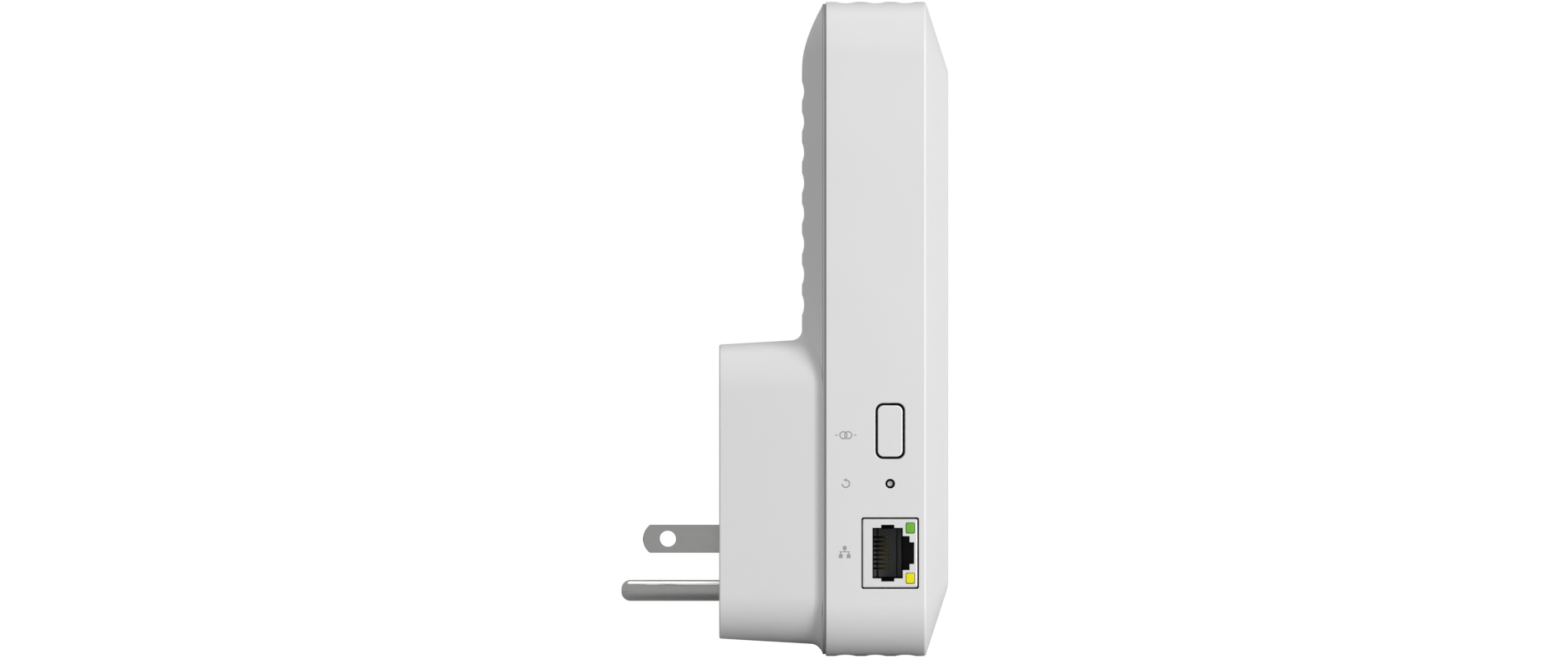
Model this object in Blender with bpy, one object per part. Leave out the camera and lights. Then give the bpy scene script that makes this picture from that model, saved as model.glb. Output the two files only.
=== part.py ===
"""Plug-in wifi range extender on a grounded two-blade mains plug.

The casing is two shells that meet at a seam: a front shell with a faceted face and the side band, and
a rear shell whose lower half reaches back to the wall and carries the plug. The main board, with the
ethernet jack and the two switches, hangs on posts of the front shell. The power board sits in the plug
housing behind the blades.

Frame: the origin lies midway between the two blades on the face that meets the wall plate. +Y points
into the wall, -Y is the front of the extender and +Z is up. The ports are on the -X side.
"""

import math

import bmesh
import bpy
from mathutils import Vector

MM = 0.001

# ---------------------------------------------------------------- casing sizes
BODY_WIDTH = 76 * MM
BODY_HEIGHT = 150 * MM
BAND_DEPTH = 22.9 * MM  # the straight side band, from the seam to the front facets
FRONT_CROWN = 5.2 * MM  # how far the flat of the front face stands ahead of the band
FRONT_INSET = 16 * MM  # width of the sloping facets, seen from the front
REAR_CROWN = 5.4 * MM  # how far the back face stands behind the seam
REAR_INSET = 15 * MM  # width of the curved slope round the back face
REAR_SHOULDER = 9 * MM  # where that curve's control point stands, in from the side
CORNER_RADIUS = 12 * MM
SMALL_RADIUS = 1.5 * MM  # corners of the flat of each face
WALL = 2.2 * MM
GAP = 0.3 * MM  # between pieces that meet or slide
BLADES_ABOVE_BASE = 26.7 * MM
CORNER_STEPS = 6
CROWN_STEPS = 4

# The plug housing, the lower half of the back that reaches the wall
HOUSING_REACH = 19 * MM
HOUSING_HEIGHT = 67.4 * MM
HOUSING_SIDE_INSET = 3 * MM  # at the wall face, from the body's side
HOUSING_BASE_INSET = 4 * MM  # at the wall face, from the body's base
HOUSING_DRAFT = 1.1 * MM  # each side grows by this from the wall face to the back face
HOUSING_RADIUS = 10 * MM

# The tongue of the rear shell that locates it inside the band
TONGUE_DEPTH = 2 * MM
TONGUE_THICK = 1 * MM
TONGUE_EASE = 0.7 * MM  # how much rounder its corners are than the band's

# Scalloped vent grooves: shallow arcs with slots through their floors
BACK_GROOVE_PITCH = 7.03 * MM
BACK_GROOVE_DEPTH = 0.5 * MM
END_GROOVE_PITCH = 6.85 * MM
END_GROOVE_DEPTH = 0.32 * MM
END_GROOVES = 3
GROOVE_WIDTH = 4.8 * MM
GROOVE_STEPS = 6
TOP_GROOVE_BELOW_TOP = 20.2 * MM
LOW_GROOVE_ABOVE_HOUSING = 9.2 * MM
SLOT_WIDTH = 1.8 * MM
SLOT_LENGTH = 8.5 * MM
SLOT_PITCH = 11.5 * MM

# ---------------------------------------------------------------- mains plug sizes (NEMA 5-15)
BLADE_SPREAD = 12.7 * MM
BLADE_WIDTH = 6.35 * MM
BLADE_THICK = 1.5 * MM
BLADE_LENGTH = 17.6 * MM
BLADE_TIP_RADIUS = 4 * MM
BLADE_HOLE_RADIUS = 1.9 * MM
BLADE_HOLE_FROM_FACE = 11.9 * MM
GROUND_DROP = 11.9 * MM
GROUND_DIAMETER = 4.85 * MM
GROUND_LENGTH = 22.6 * MM
GROUND_TIP_RADIUS = 2.1 * MM
INSERT_WIDTH = 34 * MM
INSERT_ABOVE_BLADES = 9 * MM
INSERT_BELOW_GROUND = 6 * MM
INSERT_RADIUS = 4 * MM
INSERT_FLANGE = 1.6 * MM  # how far the flange reaches behind the wall, and its thickness

# ---------------------------------------------------------------- ports on the -X side
JACK_WIDTH = 15.7 * MM
JACK_HEIGHT = 12.5 * MM
JACK_DEPTH = 16 * MM
JACK_RECESS = 0.25 * MM
JACK_ABOVE_BASE = 23.7 * MM
JACK_SHEET = 0.3 * MM
JACK_CAVITY_DEPTH = 13.5 * MM
# The jack's mouth in steps from the contact side to the latch side: (start, end, half width)
JACK_MOUTH = (
    (2.2 * MM, 4.2 * MM, 5.8 * MM),
    (4.2 * MM, 7.2 * MM, 6.5 * MM),
    (7.2 * MM, 9.15 * MM, 5.8 * MM),
    (9.15 * MM, 10.7 * MM, 3.9 * MM),
    (10.7 * MM, 11.75 * MM, 2.5 * MM),
)
JACK_LED_WIDTH = 2.3 * MM
JACK_LED_HEIGHT = 1.9 * MM
JACK_LED_OUT = 5.75 * MM  # from the jack's middle
JACK_LED_FROM_TOP = 1.65 * MM  # from the latch side to the middle of the LED window
JACK_LED_LENGTH = 9 * MM
CONTACT_COUNT = 8
CONTACT_PITCH = 1.02 * MM
CONTACT_SLOT = 0.5 * MM
CONTACT_BLOCK_DEPTH = 3 * MM

PAIR_ABOVE_RESET = 12.05 * MM
PAIR_CAP_WIDTH = 5.75 * MM
PAIR_CAP_HEIGHT = 11.8 * MM
PAIR_CAP_RADIUS = 1.35 * MM
PAIR_CAP_GAP = 0.42 * MM
PAIR_PROUD = 0.3 * MM
PAIR_FLANGE = 1 * MM
PAIR_TRAVEL = 0.5 * MM
RESET_ABOVE_JACK = 15.9 * MM
RESET_HOLE_RADIUS = 1.06 * MM
RESET_PIN_RADIUS = 0.72 * MM
RESET_RECESS = 1 * MM
RESET_TRAVEL = 0.4 * MM
SWITCH_SIZE = 6 * MM
SWITCH_DEPTH = 3.6 * MM
SWITCH_STEM_RADIUS = 1.4 * MM
SWITCH_STEM_OUT = 1.5 * MM
RESET_SWITCH_SIZE = 4.5 * MM
SWITCH_SETBACK = 3 * MM  # from the flange of the cap to the switch

# ---------------------------------------------------------------- status lights on the front
LED_COUNT = 4
LED_PITCH = 8.5 * MM
LED_ABOVE_JACK = 8 * MM
PIPE_WIDTH = 3.4 * MM
PIPE_HEIGHT = 1.4 * MM
PIPE_BAR_DEPTH = 2 * MM

# ---------------------------------------------------------------- boards and what they carry
BOARD_THICK = 1.6 * MM
BOARD_EDGE_GAP = 1.2 * MM
MAIN_BOARD_BELOW_TOP = 22 * MM
POST_RADIUS = 2.5 * MM
POST_HOLE_RADIUS = 1.3 * MM
BOARD_POST_INSET = 8.5 * MM  # board posts, in from the side of the body
CASE_POST_INSET = 7 * MM  # case posts, in from the sides of the housing's wall face
WELL_RADIUS = 4.2 * MM
WELL_BORE_RADIUS = 3.1 * MM
WELL_FLOOR = 2 * MM
SCREW_RADIUS = 1 * MM
SCREW_HEAD_RADIUS = 2.3 * MM
SCREW_HEAD_HEIGHT = 1.6 * MM
CASE_SCREW_LENGTH = 12 * MM
BOARD_SCREW_LENGTH = 6 * MM
SHIELD_HEIGHT = 2.6 * MM
SHIELD_TALL = 24 * MM
PAD_THICK = 1 * MM
SINK_BASE = 1.6 * MM
SINK_FIN_HEIGHT = 7 * MM
SINK_FIN_THICK = 1.2 * MM
SINK_FINS = 9
ANTENNA_THICK = 0.8 * MM
ANTENNA_LENGTH = 30 * MM
ANTENNA_WIDTH = 9 * MM
COAX_DIAMETER = 1.2 * MM
SOCKET_SIZE = 2.6 * MM
SOCKET_HEIGHT = 1.2 * MM
LEAD_DIAMETER = 1.5 * MM
POWER_BOARD_STANDOFF = 4 * MM
POWER_BOARD_END_GAP = 6 * MM
INSULATOR_THICK = 0.5 * MM
TRANSFORMER_SIZE = (17 * MM, 14 * MM, 16 * MM)  # across, deep, tall
BULK_RADIUS = 4 * MM
BULK_LENGTH = 14 * MM
OUTPUT_RADIUS = 3.4 * MM
OUTPUT_LENGTH = 11 * MM
X_CAP_SIZE = (5.5 * MM, 11 * MM, 12.5 * MM)
CHOKE_RADIUS = 4.2 * MM
CHOKE_HOLE_RADIUS = 1.8 * MM
CHOKE_THICK = 5 * MM
FUSE_RADIUS = 2 * MM
FUSE_LENGTH = 8 * MM
BRIDGE_SIZE = (5 * MM, 2.4 * MM, 6 * MM)
MAGNETICS_SIZE = (9 * MM, 5 * MM, 12 * MM)
HEADER_SIZE = (7 * MM, 3 * MM, 5 * MM)
PART_GAP = 1.5 * MM  # between parts on the power board
ROUND_STEPS = 12

# ---------------------------------------------------------------- planes worked out from the sizes
BACK_FACE_Y = -HOUSING_REACH
SEAM_Y = BACK_FACE_Y - REAR_CROWN
FRONT_EDGE_Y = SEAM_Y - BAND_DEPTH
FRONT_FACE_Y = FRONT_EDGE_Y - FRONT_CROWN
BASE_Z = -BLADES_ABOVE_BASE
TOP_Z = BASE_Z + BODY_HEIGHT
MID_Z = (BASE_Z + TOP_Z) / 2
SIDE_X = -BODY_WIDTH / 2
FACET_ANGLE = math.atan2(FRONT_CROWN, FRONT_INSET)
# Where the inside of the band meets the inside of a facet, behind the front edge
FACET_CORNER = WALL * (1 - math.sin(FACET_ANGLE)) / math.cos(FACET_ANGLE)

HOUSING_WIDTH = BODY_WIDTH - 2 * HOUSING_SIDE_INSET
HOUSING_BASE_Z = BASE_Z + HOUSING_BASE_INSET
HOUSING_TOP_Z = HOUSING_BASE_Z + HOUSING_HEIGHT
HOUSING_MID_Z = (HOUSING_BASE_Z + HOUSING_TOP_Z) / 2

PORTS_Y = FRONT_EDGE_Y + FACET_CORNER + GAP + JACK_HEIGHT / 2
JACK_Z = BASE_Z + JACK_ABOVE_BASE
RESET_Z = JACK_Z + RESET_ABOVE_JACK
PAIR_Z = RESET_Z + PAIR_ABOVE_RESET
LED_Z = JACK_Z + LED_ABOVE_JACK

MAIN_FRONT_Y = PORTS_Y + JACK_HEIGHT / 2 + GAP
MAIN_BACK_Y = MAIN_FRONT_Y + BOARD_THICK
MAIN_WIDTH = BODY_WIDTH - 2 * (WALL + BOARD_EDGE_GAP)
MAIN_LOW_Z = BASE_Z + WALL + BOARD_EDGE_GAP
MAIN_HIGH_Z = TOP_Z - MAIN_BOARD_BELOW_TOP
POWER_BACK_Y = -WALL - POWER_BOARD_STANDOFF
POWER_FRONT_Y = POWER_BACK_Y - BOARD_THICK

CASE_POST_X = HOUSING_WIDTH / 2 - CASE_POST_INSET
CASE_POSTS = [
    (side * CASE_POST_X, z)
    for z in (HOUSING_BASE_Z + CASE_POST_INSET, HOUSING_TOP_Z - CASE_POST_INSET)
    for side in (-1, 1)
]
BOARD_POST_X = BODY_WIDTH / 2 - BOARD_POST_INSET
BOARD_POSTS = [
    (side * BOARD_POST_X, z)
    for z in (HOUSING_TOP_Z + CASE_POST_INSET, MAIN_HIGH_Z - CASE_POST_INSET)
    for side in (-1, 1)
]
WELL_FLOOR_Y = BACK_FACE_Y - GAP
CASE_POST_TOP_Y = WELL_FLOOR_Y - WELL_FLOOR - GAP

POWER_WIDTH = 2 * (CASE_POST_X - WELL_RADIUS - BOARD_EDGE_GAP)
POWER_LOW_Z = HOUSING_BASE_Z + POWER_BOARD_END_GAP
POWER_HIGH_Z = HOUSING_TOP_Z - POWER_BOARD_END_GAP
POWER_POSTS = [
    (side * (POWER_WIDTH / 2 - POST_RADIUS), POWER_HIGH_Z - POST_RADIUS)
    for side in (-1, 1)
]

SINK_BACK_Y = MAIN_FRONT_Y - SHIELD_HEIGHT - PAD_THICK - 3 * GAP


# ---------------------------------------------------------------- shapes
def rounded_rectangle(width, height, radius, steps=CORNER_STEPS):
    """Outline with round corners about its centre, as (across, up) pairs running anticlockwise."""
    points = []
    for corner, (across, up) in enumerate(((1, 1), (-1, 1), (-1, -1), (1, -1))):
        for step in range(steps + 1):
            angle = math.radians(90 * corner + 90 * step / steps)
            points.append(
                (
                    across * (width / 2 - radius) + radius * math.cos(angle),
                    up * (height / 2 - radius) + radius * math.sin(angle),
                )
            )
    return points


def circle(radius, steps=ROUND_STEPS):
    turns = [2 * math.pi * step / steps for step in range(steps)]
    return [(radius * math.cos(turn), radius * math.sin(turn)) for turn in turns]


def along(axis, first, second, distance):
    """A point of an outline that faces along an axis: X takes (y, z), Y takes (x, z), Z takes (x, y)."""
    if axis == "X":
        return Vector((distance, first, second))
    if axis == "Y":
        return Vector((first, distance, second))
    return Vector((first, second, distance))


def prism(outline, start, end, axis="Y"):
    """An outline extruded along an axis between two distances."""
    shape = bmesh.new()
    face = shape.faces.new([shape.verts.new(along(axis, a, b, start)) for a, b in outline])
    grown = bmesh.ops.extrude_face_region(shape, geom=[face])["geom"]
    moved = [item for item in grown if isinstance(item, bmesh.types.BMVert)]
    bmesh.ops.translate(shape, verts=moved, vec=along(axis, 0, 0, end - start))
    return shape


def loft(rings, closed=False):
    """Bridges rings of equally many points. The ends are capped, or joined to each other if closed."""
    shape = bmesh.new()
    loops = [[shape.verts.new(point) for point in ring] for ring in rings]
    pairs = list(zip(loops, loops[1:]))
    if closed:
        pairs.append((loops[-1], loops[0]))
    else:
        shape.faces.new(loops[0])
        shape.faces.new(loops[-1])
    for first, second in pairs:
        for corner in range(len(first)):
            after = (corner + 1) % len(first)
            shape.faces.new((first[corner], first[after], second[after], second[corner]))
    return shape


def turned(profile, axis="Y", steps=ROUND_STEPS):
    """A solid of revolution about an axis from (radius, distance) pairs."""
    return loft([[along(axis, a, b, d) for a, b in circle(r, steps)] for r, d in profile])


def box(width, depth, height):
    shape = bmesh.new()
    bmesh.ops.create_cube(shape, size=1)
    bmesh.ops.scale(shape, vec=(width, depth, height), verts=shape.verts)
    return shape


def gathered(shapes):
    """One mesh of many (shape, place) pairs, for a tool that cuts or joins in several places."""
    whole = bmesh.new()
    for shape, place in shapes:
        bmesh.ops.translate(shape, verts=shape.verts, vec=place)
        carrier = bpy.data.meshes.new("carrier")
        shape.to_mesh(carrier)
        shape.free()
        whole.from_mesh(carrier)
        bpy.data.meshes.remove(carrier)
    return whole


def repeated(shape, places):
    return gathered((shape.copy(), place) for place in places)


def evenly(count, pitch):
    """Offsets of a row of equally spaced pieces about its middle."""
    return [pitch * (index - (count - 1) / 2) for index in range(count)]


# ---------------------------------------------------------------- objects
def group(name, place, parent=None):
    empty = bpy.data.objects.new(name, None)
    bpy.context.scene.collection.objects.link(empty)
    empty.parent = parent
    empty.location = place
    return empty


def piece(name, shape, finish, place=(0, 0, 0), parent=None):
    """Links a shape as a named object at its place in its parent, with its round faces smooth."""
    bmesh.ops.recalc_face_normals(shape, faces=shape.faces)
    mesh = bpy.data.meshes.new(name)
    shape.to_mesh(mesh)
    shape.free()
    mesh.shade_smooth()
    mesh.set_sharp_from_angle(angle=math.radians(35))
    mesh.materials.append(finish)
    obj = bpy.data.objects.new(name, mesh)
    bpy.context.scene.collection.objects.link(obj)
    obj.parent = parent
    obj.location = place
    return obj


def apply_tool(obj, name, shape, operation="DIFFERENCE", place=(0, 0, 0)):
    """Cuts a shape from an object, or joins it on, with a live Boolean modifier."""
    tool = piece(f"{obj.name}_{name}", shape, obj.data.materials[0], place, obj.parent)
    tool.location += obj.location
    tool.hide_render = True
    tool.display_type = "WIRE"
    change = obj.modifiers.new(name, "BOOLEAN")
    change.object = tool
    change.operation = operation
    change.solver = "EXACT"


def material(name, colour, roughness, metallic=0.0):
    made = bpy.data.materials.new(name)
    made.use_nodes = True
    shader = made.node_tree.nodes["Principled BSDF"]
    shader.inputs["Base Color"].default_value = (*colour, 1)
    shader.inputs["Roughness"].default_value = roughness
    shader.inputs["Metallic"].default_value = metallic
    return made


def smooth_route(points, spacing):
    """Points at a steady spacing on a smooth curve through a route's own points."""
    ends = [2 * points[0] - points[1], *points, 2 * points[-1] - points[-2]]
    route = []
    for before, start, end, after in zip(ends, ends[1:], ends[2:], ends[3:]):
        steps = max(1, round((end - start).length / spacing))
        for step in range(steps):
            t = step / steps
            route.append(
                0.5
                * (
                    2 * start
                    + (end - before) * t
                    + (2 * before - 5 * start + 4 * end - after) * t**2
                    + (3 * start - before - 3 * end + after) * t**3
                )
            )
    return [*route, points[-1]]


def wire(name, points, diameter, finish):
    """A round lead along a smooth route."""
    route = smooth_route([Vector(point) for point in points], 3 * diameter)
    curve = bpy.data.curves.new(name, "CURVE")
    curve.dimensions = "3D"
    curve.bevel_depth = diameter / 2
    curve.bevel_resolution = 2
    curve.use_fill_caps = True
    spline = curve.splines.new("POLY")
    spline.points.add(len(route) - 1)
    for point, place in zip(spline.points, route):
        point.co = (*place, 1)
    curve.materials.append(finish)
    obj = bpy.data.objects.new(name, curve)
    bpy.context.scene.collection.objects.link(obj)
    return obj


def screw(name, length, x, z, seat_y, into, finish, parent=None):
    """A pan-head screw whose head rests at seat_y and whose shank runs along into, +1 or -1 in Y."""
    profile = (
        (SCREW_HEAD_RADIUS, -into * SCREW_HEAD_HEIGHT),
        (SCREW_HEAD_RADIUS, 0),
        (SCREW_RADIUS, 0),
        (SCREW_RADIUS, into * (length - SCREW_RADIUS)),
        (SCREW_RADIUS / 2, into * length),
    )
    piece(name, turned(profile), finish, (x, seat_y - into * GAP, z), parent)


# ---------------------------------------------------------------- casing
def band_ring(inset, y, least_radius=SMALL_RADIUS):
    """The body's outline drawn in by an inset, at a depth."""
    outline = rounded_rectangle(
        BODY_WIDTH - 2 * inset,
        BODY_HEIGHT - 2 * inset,
        max(CORNER_RADIUS - inset, least_radius),
    )
    return [(x, y, z) for x, z in outline]


def groove_outline(depth):
    """The section of a bar that presses a scallop, as (across, out of the face) pairs."""
    radius = ((GROOVE_WIDTH / 2) ** 2 + depth**2) / (2 * depth)
    spread = math.asin(GROOVE_WIDTH / 2 / radius)
    arc = []
    for step in range(GROOVE_STEPS + 1):
        turn = spread * (2 * step / GROOVE_STEPS - 1)
        arc.append((radius * math.sin(turn), radius - radius * math.cos(turn) - depth))
    lip = GROOVE_WIDTH / 2 + GAP
    return [(-lip, WALL), (-lip, 0), *arc, (lip, 0), (lip, WALL)]


def vent_slot(start, end, axis):
    outline = rounded_rectangle(SLOT_LENGTH, SLOT_WIDTH, SLOT_WIDTH / 2 - GAP / 3, 2)
    return prism(outline, start, end, axis)


def slot_offsets(run):
    """Where the slots stand along a groove whose straight run has this length."""
    return evenly(int((run - SLOT_LENGTH) / SLOT_PITCH) + 1, SLOT_PITCH)


def front_wall_middle_y(x, z):
    """The middle of the front wall's thickness at a place on the face, where a post takes root."""
    from_side = BODY_WIDTH / 2 - abs(x)
    from_end = min(z - BASE_Z, TOP_Z - z)
    rise = min(1, from_side / FRONT_INSET, from_end / FRONT_INSET)
    return FRONT_EDGE_Y - FRONT_CROWN * rise + WALL / 2


def make_front_shell(finish):
    flat_inside_y = FRONT_FACE_Y + WALL
    facet_start_y = FRONT_EDGE_Y + FACET_CORNER
    inner_run = (facet_start_y - flat_inside_y) / math.tan(FACET_ANGLE)
    rings = [
        band_ring(FRONT_INSET, FRONT_FACE_Y),
        band_ring(0, FRONT_EDGE_Y),
        band_ring(0, SEAM_Y),
        band_ring(WALL, SEAM_Y),
        band_ring(WALL, facet_start_y),
        band_ring(WALL + inner_run, flat_inside_y),
    ]
    shape = loft([[(x, y - SEAM_Y, z) for x, y, z in ring] for ring in rings])
    shell = piece("front_shell", shape, finish, (0, SEAM_Y, MID_Z))

    to_world = (0, -SEAM_Y, -MID_Z)
    for name, places, top_y in (
        ("case_post", CASE_POSTS, CASE_POST_TOP_Y),
        ("board_post", BOARD_POSTS, MAIN_FRONT_Y - GAP),
    ):
        posts, bores = [], []
        for x, z in places:
            root_y = front_wall_middle_y(x, z)
            bore_y = root_y + WALL + POST_RADIUS
            posts.append((prism(circle(POST_RADIUS), root_y, top_y), (x, 0, z)))
            bores.append((prism(circle(POST_HOLE_RADIUS), bore_y, top_y + WALL), (x, 0, z)))
        apply_tool(shell, f"{name}s", gathered(posts), "UNION", to_world)
        apply_tool(shell, f"{name}_bores", gathered(bores), place=to_world)

    for name, end in (("top", 1), ("base", -1)):
        middle = (0, -BAND_DEPTH / 2, end * BODY_HEIGHT / 2)
        rows = evenly(END_GROOVES, END_GROOVE_PITCH)
        outline = [(across, end * out) for across, out in groove_outline(END_GROOVE_DEPTH)]
        bar = prism(outline, -BODY_WIDTH / 2, BODY_WIDTH / 2, "X")
        grooves = repeated(bar, [(0, y, 0) for y in rows])
        apply_tool(shell, f"{name}_grooves", grooves, place=middle)
        offsets = slot_offsets(BODY_WIDTH - 2 * CORNER_RADIUS)
        slots = repeated(vent_slot(-2 * WALL, 2 * WALL, "Z"), [(x, y, 0) for x in offsets for y in rows])
        apply_tool(shell, f"{name}_slots", slots, place=middle)

    ports = (SIDE_X, PORTS_Y - SEAM_Y, -MID_Z)
    button = rounded_rectangle(
        PAIR_CAP_WIDTH + 2 * PAIR_CAP_GAP,
        PAIR_CAP_HEIGHT + 2 * PAIR_CAP_GAP,
        PAIR_CAP_RADIUS + PAIR_CAP_GAP,
        4,
    )
    jack = rounded_rectangle(JACK_HEIGHT + 2 * GAP, JACK_WIDTH + 2 * GAP, GAP, 1)
    reset = circle(RESET_HOLE_RADIUS)
    for name, outline, z in (
        ("button_hole", button, PAIR_Z),
        ("jack_hole", jack, JACK_Z),
        ("reset_hole", reset, RESET_Z),
    ):
        hole = prism(outline, -WALL, 2 * WALL, "X")
        apply_tool(shell, name, hole, place=(ports[0], ports[1], ports[2] + z))
    window = prism(
        rounded_rectangle(PIPE_WIDTH + 2 * GAP, PIPE_HEIGHT + 2 * GAP, GAP, 1),
        -WALL,
        2 * WALL,
    )
    windows = [(x, 0, 0) for x in evenly(LED_COUNT, LED_PITCH)]
    face = (0, FRONT_FACE_Y - SEAM_Y, LED_Z - MID_Z)
    apply_tool(shell, "light_windows", repeated(window, windows), place=face)


def rear_rings(inset, crown, reach_past_seam):
    """Rings of the curved slope from the seam up to the back face, drawn in all round by an inset."""
    rings = [band_ring(inset, SEAM_Y - reach_past_seam)] if reach_past_seam else []
    for step in range(CROWN_STEPS + 1):
        t = step / CROWN_STEPS
        rise = GAP + (crown - GAP) * (2 * t - t**2)
        drawn_in = 2 * t * (1 - t) * REAR_SHOULDER + t**2 * REAR_INSET
        share = (REAR_INSET - inset) / REAR_INSET
        rings.append(band_ring(inset + drawn_in * share, SEAM_Y + rise, 2 * SMALL_RADIUS))
    return rings


def housing_loft(inset, near_y, far_y):
    """The plug housing between two depths, with its draft, drawn in all round by an inset."""
    rings = []
    for y in (near_y, far_y):
        grown = HOUSING_DRAFT * -y / HOUSING_REACH
        outline = rounded_rectangle(
            HOUSING_WIDTH + 2 * (grown - inset),
            HOUSING_HEIGHT + 2 * (grown - inset),
            HOUSING_RADIUS + grown - inset,
        )
        rings.append([(x, y, HOUSING_MID_Z + z) for x, z in outline])
    return loft(rings)


def insert_outline(growth):
    """The plug insert's outline on the wall face, about the origin, grown all round."""
    height = INSERT_ABOVE_BLADES + GROUND_DROP + INSERT_BELOW_GROUND
    middle = INSERT_ABOVE_BLADES - height / 2
    outline = rounded_rectangle(
        INSERT_WIDTH + 2 * growth, height + 2 * growth, INSERT_RADIUS + growth, 4
    )
    return [(x, z + middle) for x, z in outline]


def make_rear_shell(finish):
    shape = loft([[(x, y, z + MID_Z) for x, y, z in ring] for ring in rear_rings(0, REAR_CROWN, 0)])
    shell = piece("rear_shell", shape, finish)
    apply_tool(shell, "housing", housing_loft(0, SEAM_Y + GAP, 0), "UNION")
    inner = rear_rings(WALL, REAR_CROWN - WALL, WALL)
    inner = loft([[(x, y, z + MID_Z) for x, y, z in ring] for ring in inner])
    apply_tool(shell, "inside", inner)
    apply_tool(shell, "housing_inside", housing_loft(WALL, SEAM_Y - GAP, -WALL))

    outer, inner = WALL + GAP, WALL + GAP + TONGUE_THICK
    front_y, root_y = SEAM_Y - TONGUE_DEPTH, SEAM_Y + TONGUE_THICK
    rings = []
    for inset, y in ((outer, front_y), (outer, root_y), (inner, root_y), (inner, front_y)):
        radius = CORNER_RADIUS - inset + TONGUE_EASE
        outline = rounded_rectangle(BODY_WIDTH - 2 * inset, BODY_HEIGHT - 2 * inset, radius)
        rings.append([(x, y, z) for x, z in outline])
    tongue = loft(rings, closed=True)
    apply_tool(shell, "tongue", tongue, "UNION", (0, 0, MID_Z))

    wells = [(x, 0, z) for x, z in CASE_POSTS]
    floor_y = WELL_FLOOR_Y - WELL_FLOOR
    well = prism(circle(WELL_RADIUS), floor_y, -WALL / 2)
    apply_tool(shell, "wells", repeated(well, wells), "UNION")
    bore = prism(circle(WELL_BORE_RADIUS), WELL_FLOOR_Y, WALL)
    apply_tool(shell, "well_bores", repeated(bore, wells))
    hole = prism(circle(POST_HOLE_RADIUS), floor_y - WALL, WELL_FLOOR_Y + GAP)
    apply_tool(shell, "well_holes", repeated(hole, wells))

    posts = [(x, 0, z) for x, z in POWER_POSTS]
    post = prism(circle(POST_RADIUS), POWER_BACK_Y + GAP, -WALL / 2)
    apply_tool(shell, "power_posts", repeated(post, posts), "UNION")
    bore = prism(circle(POST_HOLE_RADIUS), POWER_BACK_Y - WALL, -WALL)
    apply_tool(shell, "power_post_bores", repeated(bore, posts))
    opening = prism(insert_outline(GAP), -2 * WALL, WALL)
    apply_tool(shell, "insert_opening", opening)

    low_z = HOUSING_TOP_Z + LOW_GROOVE_ABOVE_HOUSING
    high_z = TOP_Z - TOP_GROOVE_BELOW_TOP
    rows = int((high_z - low_z) / BACK_GROOVE_PITCH + 0.5) + 1
    heights = [high_z - BACK_GROOVE_PITCH * row for row in range(rows)]
    run = BODY_WIDTH - 2 * REAR_INSET
    outline = [(out, across) for across, out in groove_outline(BACK_GROOVE_DEPTH)]
    bar = prism(outline, -run / 2 - WALL, run / 2 + WALL, "X")
    apply_tool(shell, "grooves", repeated(bar, [(0, BACK_FACE_Y, z) for z in heights]))
    places = [(x, BACK_FACE_Y, z) for x in slot_offsets(run) for z in heights]
    apply_tool(shell, "slots", repeated(vent_slot(-2 * WALL, WALL, "Y"), places))


# ---------------------------------------------------------------- mains plug
def blade_outline():
    """A blade seen from the side, as (depth, height) pairs from its tail to its rounded tip."""
    half = BLADE_WIDTH / 2
    sweep = math.asin(half / BLADE_TIP_RADIUS)
    centre_y = BLADE_LENGTH - BLADE_TIP_RADIUS
    tip = []
    for step in range(CORNER_STEPS + 1):
        turn = sweep * (2 * step / CORNER_STEPS - 1)
        tip.append(
            (centre_y + BLADE_TIP_RADIUS * math.cos(turn), BLADE_TIP_RADIUS * math.sin(turn))
        )
    tail_y = POWER_FRONT_Y - BLADE_THICK
    return [(tail_y, -half), *tip, (tail_y, half)]


def make_plug(insert_finish, blade_finish):
    below = INSERT_FLANGE
    shape = loft(
        [
            [(x, -WALL - GAP - INSERT_FLANGE, z) for x, z in insert_outline(below)],
            [(x, -WALL - GAP, z) for x, z in insert_outline(below)],
            [(x, -WALL - GAP, z) for x, z in insert_outline(0)],
            [(x, 0, z) for x, z in insert_outline(0)],
        ]
    )
    insert = piece("plug_insert", shape, insert_finish)
    slot = box(BLADE_THICK + 2 * GAP, 4 * WALL + 2 * INSERT_FLANGE, BLADE_WIDTH + 2 * GAP)
    spots = [(x, 0, 0) for x in evenly(2, BLADE_SPREAD)]
    apply_tool(insert, "blade_slots", repeated(slot, spots))
    seat = prism(circle(GROUND_DIAMETER / 2 + GAP), -3 * WALL, WALL)
    apply_tool(insert, "ground_seat", seat, place=(0, 0, -GROUND_DROP))

    for name, x in (("neutral_blade", -BLADE_SPREAD / 2), ("line_blade", BLADE_SPREAD / 2)):
        shape = prism(blade_outline(), -BLADE_THICK / 2, BLADE_THICK / 2, "X")
        blade = piece(name, shape, blade_finish, (x, 0, 0))
        hole = prism(circle(BLADE_HOLE_RADIUS), -BLADE_THICK, BLADE_THICK, "X")
        apply_tool(blade, "hole", hole, place=(0, BLADE_HOLE_FROM_FACE, 0))

    radius = GROUND_DIAMETER / 2
    tail_y = POWER_BACK_Y + GAP
    profile = [(radius, tail_y)]
    for step in range(CROWN_STEPS + 1):
        turn = math.radians(90 * step / CROWN_STEPS)
        profile.append(
            (
                radius - GROUND_TIP_RADIUS * (1 - math.cos(turn)),
                GROUND_LENGTH - GROUND_TIP_RADIUS * (1 - math.sin(turn)),
            )
        )
    piece("ground_pin", turned(profile), blade_finish, (0, 0, -GROUND_DROP))


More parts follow.
